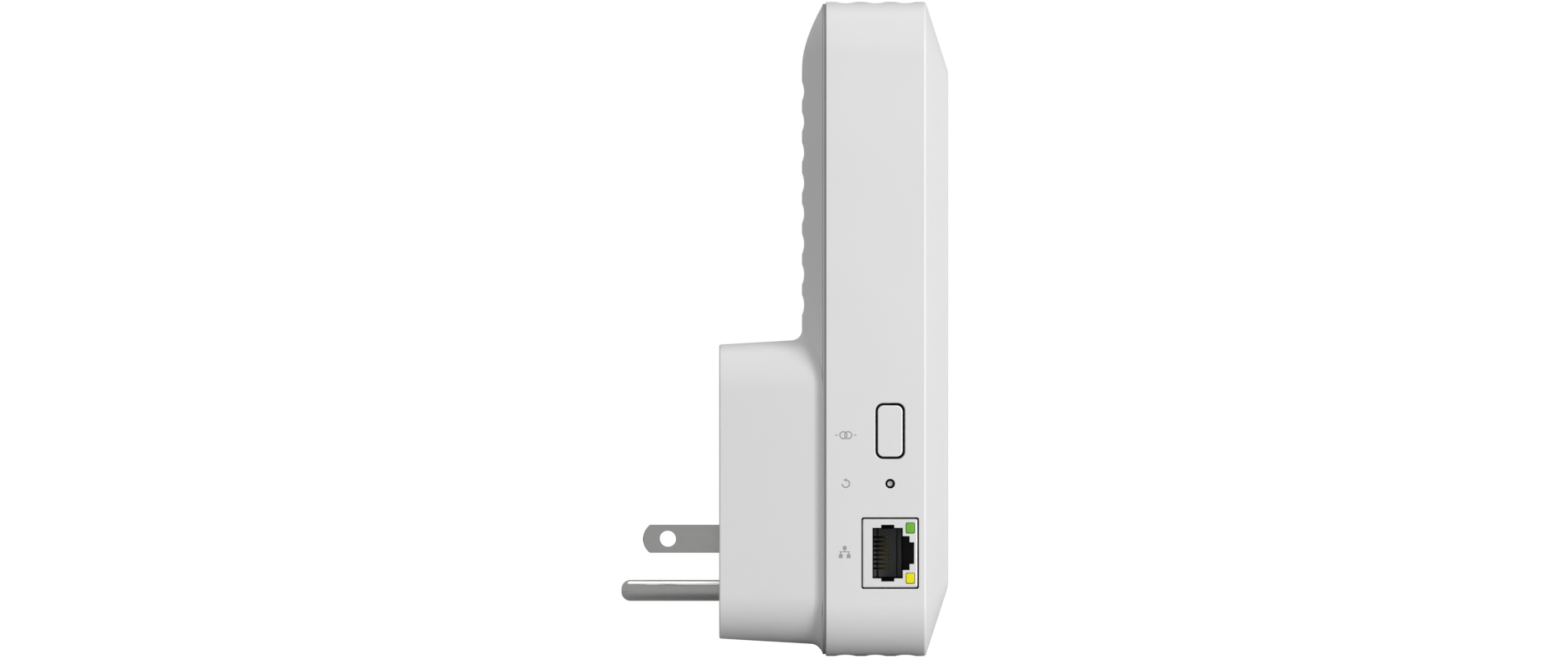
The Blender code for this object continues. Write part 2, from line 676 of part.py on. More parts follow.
# ---------------------------------------------------------------- ethernet jack
def mouth_outline():
    """The stepped mouth as (across the board, up) pairs, from the latch side down one flank and back."""
    flank = []
    for start, end, half in reversed(JACK_MOUTH):
        flank += [(JACK_HEIGHT / 2 - end, half), (JACK_HEIGHT / 2 - start, half)]
    return flank + [(y, -z) for y, z in reversed(flank)]


def make_jack(parent, sheet_finish, plastic_finish, gold_finish, green_finish, amber_finish):
    jack = group("jack", (SIDE_X + JACK_RECESS, PORTS_Y, JACK_Z), parent)
    leds = [
        (name, finish, (0, JACK_LED_FROM_TOP - JACK_HEIGHT / 2, side * JACK_LED_OUT))
        for name, finish, side in (
            ("jack_led_green", green_finish, 1),
            ("jack_led_amber", amber_finish, -1),
        )
    ]
    shield = piece(
        "jack_shield",
        prism(rounded_rectangle(JACK_HEIGHT, JACK_WIDTH, GAP, 1), 0, JACK_DEPTH, "X"),
        sheet_finish,
        parent=jack,
    )
    hollow_height, hollow_width = JACK_HEIGHT - 2 * JACK_SHEET, JACK_WIDTH - 2 * JACK_SHEET
    hollow = box(JACK_DEPTH, hollow_height, hollow_width)
    middle = (JACK_DEPTH / 2 + JACK_SHEET, 0, 0)
    apply_tool(shield, "hollow", hollow, place=middle)
    apply_tool(shield, "mouth", prism(mouth_outline(), -WALL, WALL, "X"))
    window = box(2 * WALL, JACK_LED_HEIGHT + 2 * GAP, JACK_LED_WIDTH + 2 * GAP)
    apply_tool(shield, "led_windows", repeated(window, [place for _, _, place in leds]))

    front = JACK_SHEET + GAP
    block_height, block_width = hollow_height - 2 * GAP, hollow_width - 2 * GAP
    block_outline = rounded_rectangle(block_height, block_width, GAP, 1)
    block = piece(
        "jack_housing",
        prism(block_outline, front, JACK_DEPTH - GAP, "X"),
        plastic_finish,
        parent=jack,
    )
    cavity = prism(mouth_outline(), -WALL, JACK_CAVITY_DEPTH, "X")
    apply_tool(block, "cavity", cavity)
    pocket_height = JACK_LED_FROM_TOP + JACK_LED_HEIGHT / 2 + GAP
    pocket_width = JACK_WIDTH / 2 - JACK_LED_OUT + JACK_LED_WIDTH / 2 + GAP
    pocket = box(2 * JACK_LED_LENGTH + 2 * GAP, 2 * pocket_height, 2 * pocket_width)
    corners = [(0, -JACK_HEIGHT / 2, side * JACK_WIDTH / 2) for side in (-1, 1)]
    apply_tool(block, "led_pockets", repeated(pocket, corners))

    for name, finish, place in leds:
        body = prism(
            rounded_rectangle(JACK_LED_HEIGHT, JACK_LED_WIDTH, GAP, 2), 0, JACK_LED_LENGTH, "X"
        )
        piece(name, body, finish, place, jack)

    # The comb of the contacts closes the back of the cavity, with a slot for each contact.
    comb_low, comb_high = JACK_MOUTH[0][0] + GAP, JACK_MOUTH[2][1] - GAP
    comb_height = comb_high - comb_low
    comb_width = 2 * (JACK_MOUTH[0][2] - GAP)
    comb = piece(
        "jack_contact_block",
        box(CONTACT_BLOCK_DEPTH - GAP, comb_height, comb_width),
        gold_finish,
        (
            JACK_CAVITY_DEPTH - GAP - (CONTACT_BLOCK_DEPTH - GAP) / 2,
            JACK_HEIGHT / 2 - (comb_low + comb_high) / 2,
            0,
        ),
        jack,
    )
    slot = box(CONTACT_BLOCK_DEPTH, comb_height, CONTACT_SLOT)
    rows = evenly(CONTACT_COUNT, CONTACT_PITCH)
    cuts = [(-CONTACT_BLOCK_DEPTH / 2, comb_height / 2, z) for z in rows]
    apply_tool(comb, "slots", repeated(slot, cuts))


# ---------------------------------------------------------------- buttons and switches
def make_pairing_button(parent, cap_finish, body_finish, stem_finish):
    """The cap's origin is on its line of travel, at the outer face of the casing."""
    hinge = group("pairing_press", (SIDE_X, PORTS_Y, PAIR_Z), parent)
    behind = WALL + GAP
    flange_end = behind + PAIR_FLANGE
    switch_front = flange_end + SWITCH_SETBACK
    stem_end = switch_front - SWITCH_STEM_OUT - GAP
    cap_outline = rounded_rectangle(PAIR_CAP_WIDTH, PAIR_CAP_HEIGHT, PAIR_CAP_RADIUS, 4)
    grown = 2 * (PAIR_CAP_GAP + PAIR_FLANGE)
    flange_outline = rounded_rectangle(
        PAIR_CAP_WIDTH + grown, PAIR_CAP_HEIGHT + grown, PAIR_CAP_RADIUS + grown / 2, 4
    )
    stem_outline = rounded_rectangle(
        2 * SWITCH_STEM_RADIUS, 2 * SWITCH_STEM_RADIUS, SWITCH_STEM_RADIUS / 2, 4
    )
    stations = (
        (cap_outline, -PAIR_PROUD),
        (cap_outline, behind),
        (flange_outline, behind),
        (flange_outline, flange_end),
        (stem_outline, flange_end),
        (stem_outline, stem_end),
    )
    shape = loft([[(x, y, z) for y, z in outline] for outline, x in stations])
    piece("pairing_button", shape, cap_finish, parent=hinge)

    room = PAIR_TRAVEL + GAP
    body_height = MAIN_FRONT_Y - GAP - (PORTS_Y - SWITCH_SIZE / 2)
    body = piece(
        "pairing_switch_body",
        box(SWITCH_DEPTH, body_height, SWITCH_SIZE),
        body_finish,
        (
            switch_front + SWITCH_DEPTH / 2,
            body_height / 2 - SWITCH_SIZE / 2,
            0,
        ),
        hinge,
    )
    bore_end = switch_front + SWITCH_STEM_RADIUS + room
    bore = prism(circle(SWITCH_STEM_RADIUS + GAP), switch_front - WALL, bore_end, "X")
    tool_place = (-body.location.x, -body.location.y, 0)
    apply_tool(body, "bore", bore, place=tool_place)
    stem = prism(
        circle(SWITCH_STEM_RADIUS),
        switch_front - SWITCH_STEM_OUT,
        bore_end - room,
        "X",
    )
    piece("pairing_switch_plunger", stem, stem_finish, parent=hinge)


def make_reset_button(parent, body_finish, stem_finish):
    """The reset pin stands in a hole of the side and is pressed with a wire."""
    hinge = group("reset_press", (SIDE_X, PORTS_Y, RESET_Z), parent)
    switch_front = WALL + GAP + PAIR_FLANGE
    room = RESET_TRAVEL + GAP
    body_height = MAIN_FRONT_Y - GAP - (PORTS_Y - RESET_SWITCH_SIZE / 2)
    body = piece(
        "reset_switch_body",
        box(SWITCH_DEPTH, body_height, RESET_SWITCH_SIZE),
        body_finish,
        (
            switch_front + SWITCH_DEPTH / 2,
            body_height / 2 - RESET_SWITCH_SIZE / 2,
            0,
        ),
        hinge,
    )
    collar = RESET_PIN_RADIUS + GAP
    bore_end = switch_front + RESET_PIN_RADIUS + room
    bore = prism(circle(collar), switch_front - WALL, bore_end, "X")
    apply_tool(body, "bore", bore, place=(-body.location.x, -body.location.y, 0))
    pin = prism(circle(RESET_PIN_RADIUS), RESET_RECESS, bore_end - room, "X")
    piece("reset_pin", pin, stem_finish, parent=hinge)


# ---------------------------------------------------------------- main board
def make_main_board(board_finish, metal_finish, sink_finish, pad_finish, chip_finish):
    height = MAIN_HIGH_Z - MAIN_LOW_Z
    middle_z = (MAIN_HIGH_Z + MAIN_LOW_Z) / 2
    board = piece(
        "main_board",
        prism(rounded_rectangle(MAIN_WIDTH, height, CORNER_RADIUS - WALL, 4), 0, BOARD_THICK),
        board_finish,
        (0, MAIN_FRONT_Y, middle_z),
    )
    clearances = [(x, 0, z - middle_z) for x, z in CASE_POSTS]
    wide = prism(circle(POST_RADIUS + 2 * GAP), -WALL, 2 * WALL)
    apply_tool(board, "post_clearances", repeated(wide, clearances))
    narrow = prism(circle(POST_HOLE_RADIUS), -WALL, 2 * WALL)
    holes = [(x, 0, z - middle_z) for x, z in BOARD_POSTS]
    apply_tool(board, "screw_holes", repeated(narrow, holes))

    # Two shielded radios side by side under one pad and one finned heat sink.
    inside = 2 * (min(CASE_POST_X, BOARD_POST_X) - POST_RADIUS - PART_GAP)
    radio_low_z = PAIR_Z + PAIR_CAP_HEIGHT
    half = (inside - PART_GAP) / 2
    can_y = MAIN_FRONT_Y - GAP - SHIELD_HEIGHT / 2
    radio_z = radio_low_z + SHIELD_TALL / 2
    for name, side in (("radio_shield_2g", -1), ("radio_shield_5g", 1)):
        can = box(half, SHIELD_HEIGHT, SHIELD_TALL)
        place = (side * (half + PART_GAP) / 2, can_y, radio_z)
        piece(name, can, metal_finish, place)
    pad_y = MAIN_FRONT_Y - SHIELD_HEIGHT - 2 * GAP - PAD_THICK / 2
    pad = box(inside - PART_GAP, PAD_THICK, SHIELD_TALL - PART_GAP)
    piece("thermal_pad", pad, pad_finish, (0, pad_y, radio_z))

    comb = [(-inside / 2, 0), (inside / 2, 0)]
    pitch = (inside - SINK_FIN_THICK) / (SINK_FINS - 1)
    for offset in reversed(evenly(SINK_FINS, pitch)):
        right, left = offset + SINK_FIN_THICK / 2, offset - SINK_FIN_THICK / 2
        tip = -SINK_BASE - SINK_FIN_HEIGHT
        comb += [(right, -SINK_BASE), (right, tip), (left, tip), (left, -SINK_BASE)]
    comb = [comb[0], comb[1], *comb[3:-1]]
    sink = prism(comb, -SHIELD_TALL / 2, SHIELD_TALL / 2, "Z")
    piece("heat_sink", sink, sink_finish, (0, SINK_BACK_Y, radio_z))

    across, deep, tall = MAGNETICS_SIZE
    inward = SIDE_X + JACK_RECESS + JACK_DEPTH + PART_GAP + across / 2
    place = (inward, MAIN_FRONT_Y - GAP - deep / 2, JACK_Z - tall / 4)
    piece("ethernet_magnetics", box(across, deep, tall), chip_finish, place)


def make_lights(guide_finish, chip_finish):
    """Four board LEDs and the clear guide that leads their light to the front face."""
    row = evenly(LED_COUNT, LED_PITCH)
    chip_height = PIPE_HEIGHT
    for number, x in enumerate(row, start=1):
        chip = box(PIPE_WIDTH - 2 * GAP, chip_height, PIPE_HEIGHT)
        place = (x, MAIN_FRONT_Y - GAP - chip_height / 2, LED_Z)
        piece(f"status_led_{number}", chip, chip_finish, place)
    start_y = MAIN_FRONT_Y - chip_height - 2 * GAP
    pipe = prism(rounded_rectangle(PIPE_WIDTH, PIPE_HEIGHT, GAP, 1), FRONT_FACE_Y, start_y)
    bar_width = (LED_COUNT - 1) * LED_PITCH + PIPE_WIDTH / 2
    bar_y = (start_y + FRONT_FACE_Y) / 2
    guide = piece(
        "light_guide", box(bar_width, PIPE_BAR_DEPTH, PIPE_HEIGHT / 2), guide_finish, (0, bar_y, LED_Z)
    )
    pipes = repeated(pipe, [(x, 0, 0) for x in row])
    apply_tool(guide, "pipes", pipes, "UNION", (0, -bar_y, 0))


# ---------------------------------------------------------------- antennas
def make_antennas(foil_finish, coax_finish, metal_finish):
    """An antenna on each side wall and one behind the front face, each with its coaxial lead."""
    wall_x = BODY_WIDTH / 2 - WALL - GAP - ANTENNA_THICK / 2
    side_z = MAIN_HIGH_Z - ANTENNA_LENGTH / 2 - PART_GAP
    face_y = FRONT_FACE_Y + WALL + GAP + ANTENNA_THICK / 2
    face_z = TOP_Z - FRONT_INSET - ANTENNA_WIDTH
    socket_z = MAIN_HIGH_Z - 2 * PART_GAP
    socket_y = MAIN_FRONT_Y - GAP - SOCKET_HEIGHT / 2
    lead_y = socket_y - SOCKET_HEIGHT / 2 - GAP - COAX_DIAMETER / 2
    rise = COAX_DIAMETER * 4
    for number, side in enumerate((-1, 1, 0), start=1):
        socket_x = side * (BOARD_POST_X - POST_RADIUS) * 0.7
        socket = box(SOCKET_SIZE, SOCKET_HEIGHT, SOCKET_SIZE)
        piece(f"coax_socket_{number}", socket, metal_finish, (socket_x, socket_y, socket_z))
        if side:
            size = ANTENNA_THICK, ANTENNA_WIDTH, ANTENNA_LENGTH
            place = (side * wall_x, PORTS_Y, side_z)
            end_x = side * (wall_x - ANTENNA_THICK / 2 - 2 * GAP - COAX_DIAMETER / 2)
            top_z = side_z + ANTENNA_LENGTH / 2
            route = (
                (socket_x, lead_y, socket_z),
                (socket_x, lead_y - COAX_DIAMETER, socket_z + rise),
                ((socket_x + end_x) / 2, (lead_y + PORTS_Y) / 2, top_z + 2 * rise),
                (end_x - side * COAX_DIAMETER, PORTS_Y, top_z + rise),
                (end_x, PORTS_Y, top_z),
                (end_x, PORTS_Y, top_z - rise),
            )
        else:
            size = ANTENNA_LENGTH, ANTENNA_THICK, ANTENNA_WIDTH
            place = (0, face_y, face_z)
            end_y = face_y + ANTENNA_THICK / 2 + 2 * GAP + COAX_DIAMETER / 2
            route = (
                (0, lead_y, socket_z),
                (0, lead_y - COAX_DIAMETER, socket_z - rise),
                (0, (lead_y + end_y) / 2, socket_z - 2 * rise),
                (0, end_y + COAX_DIAMETER, face_z - rise),
                (0, end_y, face_z),
            )
        piece(f"antenna_{number}", box(*size), foil_finish, place)
        wire(f"antenna_lead_{number}", route, COAX_DIAMETER, coax_finish)


# ---------------------------------------------------------------- power board
def make_power_board(finishes):
    height = POWER_HIGH_Z - POWER_LOW_Z
    middle_z = (POWER_HIGH_Z + POWER_LOW_Z) / 2
    board = piece(
        "power_board",
        box(POWER_WIDTH, BOARD_THICK, height),
        finishes["board"],
        (0, POWER_FRONT_Y + BOARD_THICK / 2, middle_z),
    )
    slot = box(BLADE_THICK + 2 * GAP, 2 * WALL, BLADE_WIDTH + 2 * GAP)
    spots = [(x, 0, -middle_z) for x in evenly(2, BLADE_SPREAD)]
    apply_tool(board, "blade_slots", repeated(slot, spots))
    hole = prism(circle(POST_HOLE_RADIUS), -WALL, WALL)
    spots = [(x, 0, z - middle_z) for x, z in POWER_POSTS]
    apply_tool(board, "screw_holes", repeated(hole, spots))

    left, right = -POWER_WIDTH / 2 + PART_GAP, POWER_WIDTH / 2 - PART_GAP
    front = POWER_FRONT_Y - GAP
    below_screws = POWER_HIGH_Z - 2 * (POST_RADIUS + GAP)
    blade_clear = BLADE_WIDTH / 2 + PART_GAP

    across, deep, tall = TRANSFORMER_SIZE
    transformer_z = below_screws - tall / 2
    coil = prism(rounded_rectangle(across, tall, PART_GAP, 3), front - deep, front)
    place = (right - across / 2, 0, transformer_z)
    piece("transformer", coil, finishes["ferrite"], place)

    can = [(BULK_RADIUS, front), (BULK_RADIUS, front - BULK_LENGTH)]
    for number in (1, 2):
        z = below_screws - BULK_RADIUS - (number - 1) * (2 * BULK_RADIUS + PART_GAP)
        place = (left + BULK_RADIUS, 0, z)
        piece(f"bulk_capacitor_{number}", turned(can), finishes["sleeve"], place)

    can = [(OUTPUT_RADIUS, front), (OUTPUT_RADIUS, front - OUTPUT_LENGTH)]
    output_z = transformer_z - tall / 2 - PART_GAP - OUTPUT_RADIUS
    place = (right - OUTPUT_RADIUS, 0, output_z)
    piece("output_capacitor", turned(can), finishes["sleeve"], place)

    across, deep, tall = X_CAP_SIZE
    place = (left + across / 2, front - deep / 2, POWER_LOW_Z + PART_GAP + tall / 2)
    piece("interference_capacitor", box(across, deep, tall), finishes["amber"], place)

    ring = loft(
        [
            [(x, y, z) for x, z in circle(radius)]
            for radius, y in (
                (CHOKE_RADIUS, 0),
                (CHOKE_RADIUS, -CHOKE_THICK),
                (CHOKE_HOLE_RADIUS, -CHOKE_THICK),
                (CHOKE_HOLE_RADIUS, 0),
            )
        ],
        closed=True,
    )
    place = (right - CHOKE_RADIUS, front, POWER_LOW_Z + PART_GAP + CHOKE_RADIUS)
    piece("mains_choke", ring, finishes["copper"], place)

    fuse = turned(((FUSE_RADIUS, 0), (FUSE_RADIUS, FUSE_LENGTH)), "X")
    place = (-FUSE_LENGTH / 2, front - FUSE_RADIUS, -GROUND_DROP)
    piece("fuse", fuse, finishes["ceramic"], place)

    across, deep, tall = BRIDGE_SIZE
    place = (0, front - deep / 2, blade_clear + tall / 2)
    piece("bridge_rectifier", box(across, deep, tall), finishes["chip"], place)

    # A thin sheet keeps the mains side away from the back of the main board.
    sheet_y = MAIN_BACK_Y + HEADER_SIZE[1] + PART_GAP
    sheet = box(POWER_WIDTH, INSULATOR_THICK, height)
    place = (0, sheet_y + INSULATOR_THICK / 2, middle_z)
    piece("insulation_sheet", sheet, finishes["film"], place)

    # Low-voltage leads climb over the sheet to a header on the back of the main board.
    across, deep, tall = HEADER_SIZE
    header_z = HOUSING_TOP_Z + tall
    header = (0, MAIN_BACK_Y + GAP + deep / 2, header_z)
    piece("power_header", box(across, deep, tall), finishes["nylon"], header)
    for name, side, finish in (
        ("power_lead_positive", -1, finishes["red"]),
        ("power_lead_negative", 1, finishes["black"]),
    ):
        x = side * LEAD_DIAMETER
        low_z = below_screws
        low_y = front - LEAD_DIAMETER / 2
        over_y = BACK_FACE_Y - WALL - 2 * LEAD_DIAMETER
        header_y = MAIN_BACK_Y + GAP + deep / 2
        route = (
            (x, low_y, low_z),
            (x, low_y - 3 * LEAD_DIAMETER, low_z),
            (x, over_y + 4 * LEAD_DIAMETER, low_z + LEAD_DIAMETER),
            (x, over_y, HOUSING_TOP_Z - WALL - LEAD_DIAMETER),
            (x, header_y + LEAD_DIAMETER, header_z - tall / 2 - 3 * LEAD_DIAMETER),
            (x, header_y, header_z - tall / 2 - 2 * GAP),
        )
        wire(name, route, LEAD_DIAMETER, finish)


# ---------------------------------------------------------------- fasteners
def make_screws(finish):
    for number, (x, z) in enumerate(CASE_POSTS, start=1):
        seat_y = WELL_FLOOR_Y
        screw(f"case_screw_{number}", CASE_SCREW_LENGTH, x, z, seat_y, -1, finish)
    for number, (x, z) in enumerate(BOARD_POSTS, start=1):
        screw(f"board_screw_{number}", BOARD_SCREW_LENGTH, x, z, MAIN_BACK_Y, -1, finish)
    for number, (x, z) in enumerate(POWER_POSTS, start=1):
        length = BOARD_THICK + POWER_BOARD_STANDOFF - 2 * GAP
        screw(f"power_screw_{number}", length, x, z, POWER_FRONT_Y, 1, finish)


def main():
    for obj in list(bpy.data.objects):
        bpy.data.objects.remove(obj)
    white = material("white_casing", (0.80, 0.80, 0.80), 0.42)
    nickel = material("nickel_plate", (0.62, 0.62, 0.62), 0.28, 1.0)
    steel = material("zinc_steel", (0.55, 0.55, 0.56), 0.35, 1.0)
    tin = material("tin_sheet", (0.70, 0.70, 0.70), 0.35, 1.0)
    aluminium = material("sink_aluminium", (0.75, 0.76, 0.78), 0.40, 1.0)
    black = material("black_plastic", (0.03, 0.03, 0.03), 0.50)
    grey = material("grey_plastic", (0.35, 0.35, 0.35), 0.50)
    green_board = material("board_green", (0.02, 0.16, 0.06), 0.40)
    foil = material("antenna_board", (0.60, 0.45, 0.12), 0.45)
    clear = material("clear_acrylic", (0.90, 0.92, 0.92), 0.10)
    green = material("led_green", (0.18, 0.55, 0.10), 0.30)
    amber = material("led_amber", (0.80, 0.72, 0.05), 0.30)
    pad = material("thermal_silicone", (0.35, 0.40, 0.45), 0.80)

    make_front_shell(white)
    make_rear_shell(white)
    make_plug(white, nickel)
    make_jack(None, tin, black, black, green, amber)
    make_pairing_button(None, white, black, black)
    make_reset_button(None, black, grey)
    make_main_board(green_board, tin, aluminium, pad, black)
    make_lights(clear, clear)
    make_antennas(foil, black, nickel)
    make_power_board(
        {
            "board": material("power_board_tan", (0.45, 0.32, 0.12), 0.45),
            "ferrite": material("transformer_tape", (0.75, 0.62, 0.10), 0.50),
            "sleeve": material("capacitor_sleeve", (0.03, 0.04, 0.10), 0.35),
            "amber": material("film_capacitor", (0.75, 0.60, 0.06), 0.35),
            "copper": material("choke_winding", (0.60, 0.25, 0.08), 0.35, 1.0),
            "ceramic": material("fuse_ceramic", (0.78, 0.74, 0.64), 0.55),
            "chip": black,
            "film": material("insulation_film", (0.80, 0.78, 0.70), 0.30),
            "nylon": material("header_nylon", (0.85, 0.84, 0.78), 0.50),
            "red": material("lead_red", (0.55, 0.03, 0.02), 0.45),
            "black": black,
        }
    )
    make_screws(steel)


main()
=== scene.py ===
"""The visible pieces of a plug-in wifi range extender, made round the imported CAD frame.

Sizes are in millimetres where MM turns them to metres. +Y points into the wall, -Y is the front, +Z is up
and the ports are on the -X side.
"""
import math

import bmesh
import bpy
import numpy as np
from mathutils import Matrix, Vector


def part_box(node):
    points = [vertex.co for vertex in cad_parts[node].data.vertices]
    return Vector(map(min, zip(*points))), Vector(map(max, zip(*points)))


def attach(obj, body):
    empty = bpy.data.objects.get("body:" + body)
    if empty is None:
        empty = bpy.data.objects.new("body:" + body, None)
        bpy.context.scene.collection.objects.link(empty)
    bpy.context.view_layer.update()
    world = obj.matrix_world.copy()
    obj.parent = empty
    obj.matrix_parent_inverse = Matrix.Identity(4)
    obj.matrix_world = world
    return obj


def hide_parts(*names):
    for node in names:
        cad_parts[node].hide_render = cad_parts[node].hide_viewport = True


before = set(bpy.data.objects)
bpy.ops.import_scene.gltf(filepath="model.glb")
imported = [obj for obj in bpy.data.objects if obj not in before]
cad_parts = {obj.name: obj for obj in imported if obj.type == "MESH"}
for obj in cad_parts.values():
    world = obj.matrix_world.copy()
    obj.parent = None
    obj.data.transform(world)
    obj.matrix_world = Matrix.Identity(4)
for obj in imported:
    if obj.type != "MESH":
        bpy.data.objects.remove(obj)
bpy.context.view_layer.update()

MM = 0.001
X, Y, Z = 0, 1, 2


# ---------------------------------------------------------------- front casing
# One ABS moulding: the faceted front with the straight side band behind it. The wall is 2.2 mm, the tool's
# face is finely spark-eroded, and posts behind the front take the case screws and the main board.
def cad(node):
    """Lowest corner, highest corner and middle of a CAD node, in millimetres."""
    low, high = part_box(node)
    return low / MM, high / MM, (low + high) / 2 / MM


def clear():
    """Leaves edit mode with nothing selected."""
    if bpy.context.object and bpy.context.object.mode == "EDIT":
        bpy.ops.object.mode_set(mode="OBJECT")
    bpy.ops.object.select_all(action="DESELECT")


def pick(piece):
    """Leaves edit mode with one piece selected and active."""
    clear()
    piece.select_set(True)
    bpy.context.view_layer.objects.active = piece
    return piece


def edit(piece):
    pick(piece)
    bpy.ops.object.mode_set(mode="EDIT")


def named(name):
    """The primitive just added, named, with its place in its mesh."""
    piece = bpy.context.object
    piece.name = piece.data.name = name
    bpy.ops.object.transform_apply(location=True, rotation=True, scale=True)
    return piece


def choose(kind, test):
    """Selects only the faces, edges or points of the open piece that pass a test."""
    bpy.ops.mesh.select_mode(type={"faces": "FACE", "edges": "EDGE", "verts": "VERT"}[kind])
    bpy.ops.mesh.select_all(action="DESELECT")
    mesh = bpy.context.object.data
    shape = bmesh.from_edit_mesh(mesh)
    for item in getattr(shape, kind):
        if test(item):
            item.select_set(True)
    shape.select_flush_mode()
    bmesh.update_edit_mesh(mesh)


def lies_at(item, axis, value, slack=0.01):
    """Whether all of a face, an edge or a point stands at a distance along an axis."""
    points = item.verts if hasattr(item, "verts") else [item]
    return all(abs(point.co[axis] / MM - value) < slack for point in points)


def runs_along(edge, axis):
    way = edge.verts[1].co - edge.verts[0].co
    return abs(way[axis]) > 0.999 * way.length


def block(name, low, high):
    """A block between two corners."""
    clear()
    low, high = Vector(low), Vector(high)
    bpy.ops.mesh.primitive_cube_add(size=1, location=(low + high) / 2 * MM)
    bpy.ops.transform.resize(value=(high - low) * MM)
    return named(name)


def rounded_block(name, low, high, axis, radius, segments=8):
    """A block whose four edges along one axis are rounded."""
    piece = block(name, low, high)
    edit(piece)
    choose("edges", lambda edge: runs_along(edge, axis))
    bpy.ops.mesh.bevel(offset=radius * MM, segments=segments, affect="EDGES")
    return pick(piece)


def rod(name, radius, start, end, axis, sides=32):
    """A round rod along an axis between two points."""
    clear()
    start, end = Vector(start), Vector(end)
    turn = {X: (0, math.pi / 2, 0), Y: (math.pi / 2, 0, 0), Z: (0, 0, 0)}[axis]
    bpy.ops.mesh.primitive_cylinder_add(
        vertices=sides,
        radius=radius * MM,
        depth=(end - start).length * MM,
        location=(start + end) / 2 * MM,
        rotation=turn,
    )
    return named(name)


def ease(piece, test, width, segments=3):
    """Rounds the edges of a piece that pass a test."""
    edit(piece)
    choose("edges", test)
    bpy.ops.mesh.bevel(offset=width * MM, segments=segments, affect="EDGES")
    return pick(piece)


def modify(piece, kind, **settings):
    """Adds a modifier with its settings and applies it."""
    pick(piece)
    change = piece.modifiers.new(kind, kind)
    for name, value in settings.items():
        setattr(change, name, value)
    bpy.ops.object.modifier_apply(modifier=change.name)
    return piece


def push(distance):
    """Extrudes the chosen faces along Y."""
    bpy.ops.mesh.extrude_region_move(TRANSFORM_OT_translate={"value": (0, distance * MM, 0)})


def row(piece, count, step):
    """Repeats a piece in a row, each copy one step from the last."""
    step = Vector(step) * MM
    constant = {"use_relative_offset": False, "use_constant_offset": True, "constant_offset_displace": step}
    return modify(piece, "ARRAY", count=count, **constant)


def carve(piece, tool, operation="DIFFERENCE"):
    """Cuts a tool out of a piece, or joins it on, and throws the tool away."""
    modify(piece, "BOOLEAN", operation=operation, object=tool, solver="EXACT")
    bpy.data.objects.remove(tool)


def thicken(piece, wall):
    """Turns an open skin's faces outwards and gives it a wall that grows inwards."""
    edit(piece)
    bpy.ops.mesh.select_all(action="SELECT")
    bpy.ops.mesh.normals_make_consistent(inside=False)
    modify(piece, "SOLIDIFY", thickness=wall * MM, offset=-1, use_even_offset=True)


def settle(piece, finish):
    """Shades a finished piece's rounds smooth, keeps its flats flat, and coats it."""
    pick(piece)
    bpy.ops.object.shade_smooth_by_angle(angle=math.radians(32))
    modify(piece, "WEIGHTED_NORMAL", keep_sharp=True)
    piece.data.materials.clear()
    piece.data.materials.append(finish)
    return piece


def draw_in(old, new, middle_z):
    """Extrudes a rounded cap from one outline to the next: (half width, half height, radius, depth)."""
    (old_x, old_z, old_radius, old_y), (new_x, new_z, new_radius, new_y) = old, new
    choose("faces", lambda face: lies_at(face, Y, old_y))
    push(new_y - old_y)
    share = new_radius / old_radius
    for side in (-1, 1):
        for end in (-1, 1):
            choose(
                "verts",
                lambda point: lies_at(point, Y, new_y)
                and point.co.x * side > 0
                and (point.co.z / MM - middle_z) * end > 0,
            )
            centre = Vector((side * (old_x - old_radius), new_y, middle_z + end * (old_z - old_radius)))
            target = Vector((side * (new_x - new_radius), new_y, middle_z + end * (new_z - new_radius)))
            bpy.ops.transform.resize(value=(share, 1, share), center_override=centre * MM)
            bpy.ops.transform.translate(value=(target - centre) * MM)


def rgb(text):
    """An sRGB hex colour as linear values."""
    parts = [int(text[start : start + 2], 16) / 255 for start in (0, 2, 4)]
    return (*[part / 12.92 if part <= 0.04045 else ((part + 0.055) / 1.055) ** 2.4 for part in parts], 1)


def add(tree, kind, settings=(), links=()):
    """Adds a node with its settings, by property name or socket, and the links into it."""
    made = tree.nodes.new(kind)
    for name, value in dict(settings).items():
        if isinstance(name, str) and hasattr(made, name):
            setattr(made, name, value)
        else:
            made.inputs[name].default_value = value
    for name, source in dict(links).items():
        tree.links.new(source, made.inputs[name])
    return made


def blank_finish(name, **shader_values):
    """A new material with its shader's constant values, and the Object coordinates its patterns read."""
    made = bpy.data.materials.new(name)
    made.use_nodes = True
    tree = made.node_tree
    shader = tree.nodes["Principled BSDF"]
    for socket, value in shader_values.items():
        shader.inputs[socket.replace("_", " ")].default_value = value
    place = add(tree, "ShaderNodeTexCoord").outputs["Object"]
    return made, tree, shader, place


# The mix node's colour sockets: two inputs and one output
COLOUR_A, COLOUR_B, MIXED = 6, 7, 2


def tinted(tree, shader, first, second, share):
    """Colours a shader between two sRGB colours as a pattern says, and gives that colour's output."""
    colours = {"data_type": "RGBA", COLOUR_A: rgb(first), COLOUR_B: rgb(second)}
    tone = add(tree, "ShaderNodeMix", colours, {0: share}).outputs[MIXED]
    tree.links.new(tone, shader.inputs["Base Color"])
    return tone


def roughened(tree, shader, pattern, low, high, **span):
    """Spreads a pattern over a range of roughness."""
    limits = {"To Min": low, "To Max": high}
    limits.update({name.replace("_", " "): value for name, value in span.items()})
    spread = add(tree, "ShaderNodeMapRange", limits, {"Value": pattern})
    tree.links.new(spread.outputs["Result"], shader.inputs["Roughness"])


def noise(tree, place, grain, detail, **more):
    """Noise with its grain in millimetres."""
    settings = {"Scale": 1 / (grain * MM), "Detail": detail, **more}
    return add(tree, "ShaderNodeTexNoise", settings, {"Vector": place}).outputs["Fac"]


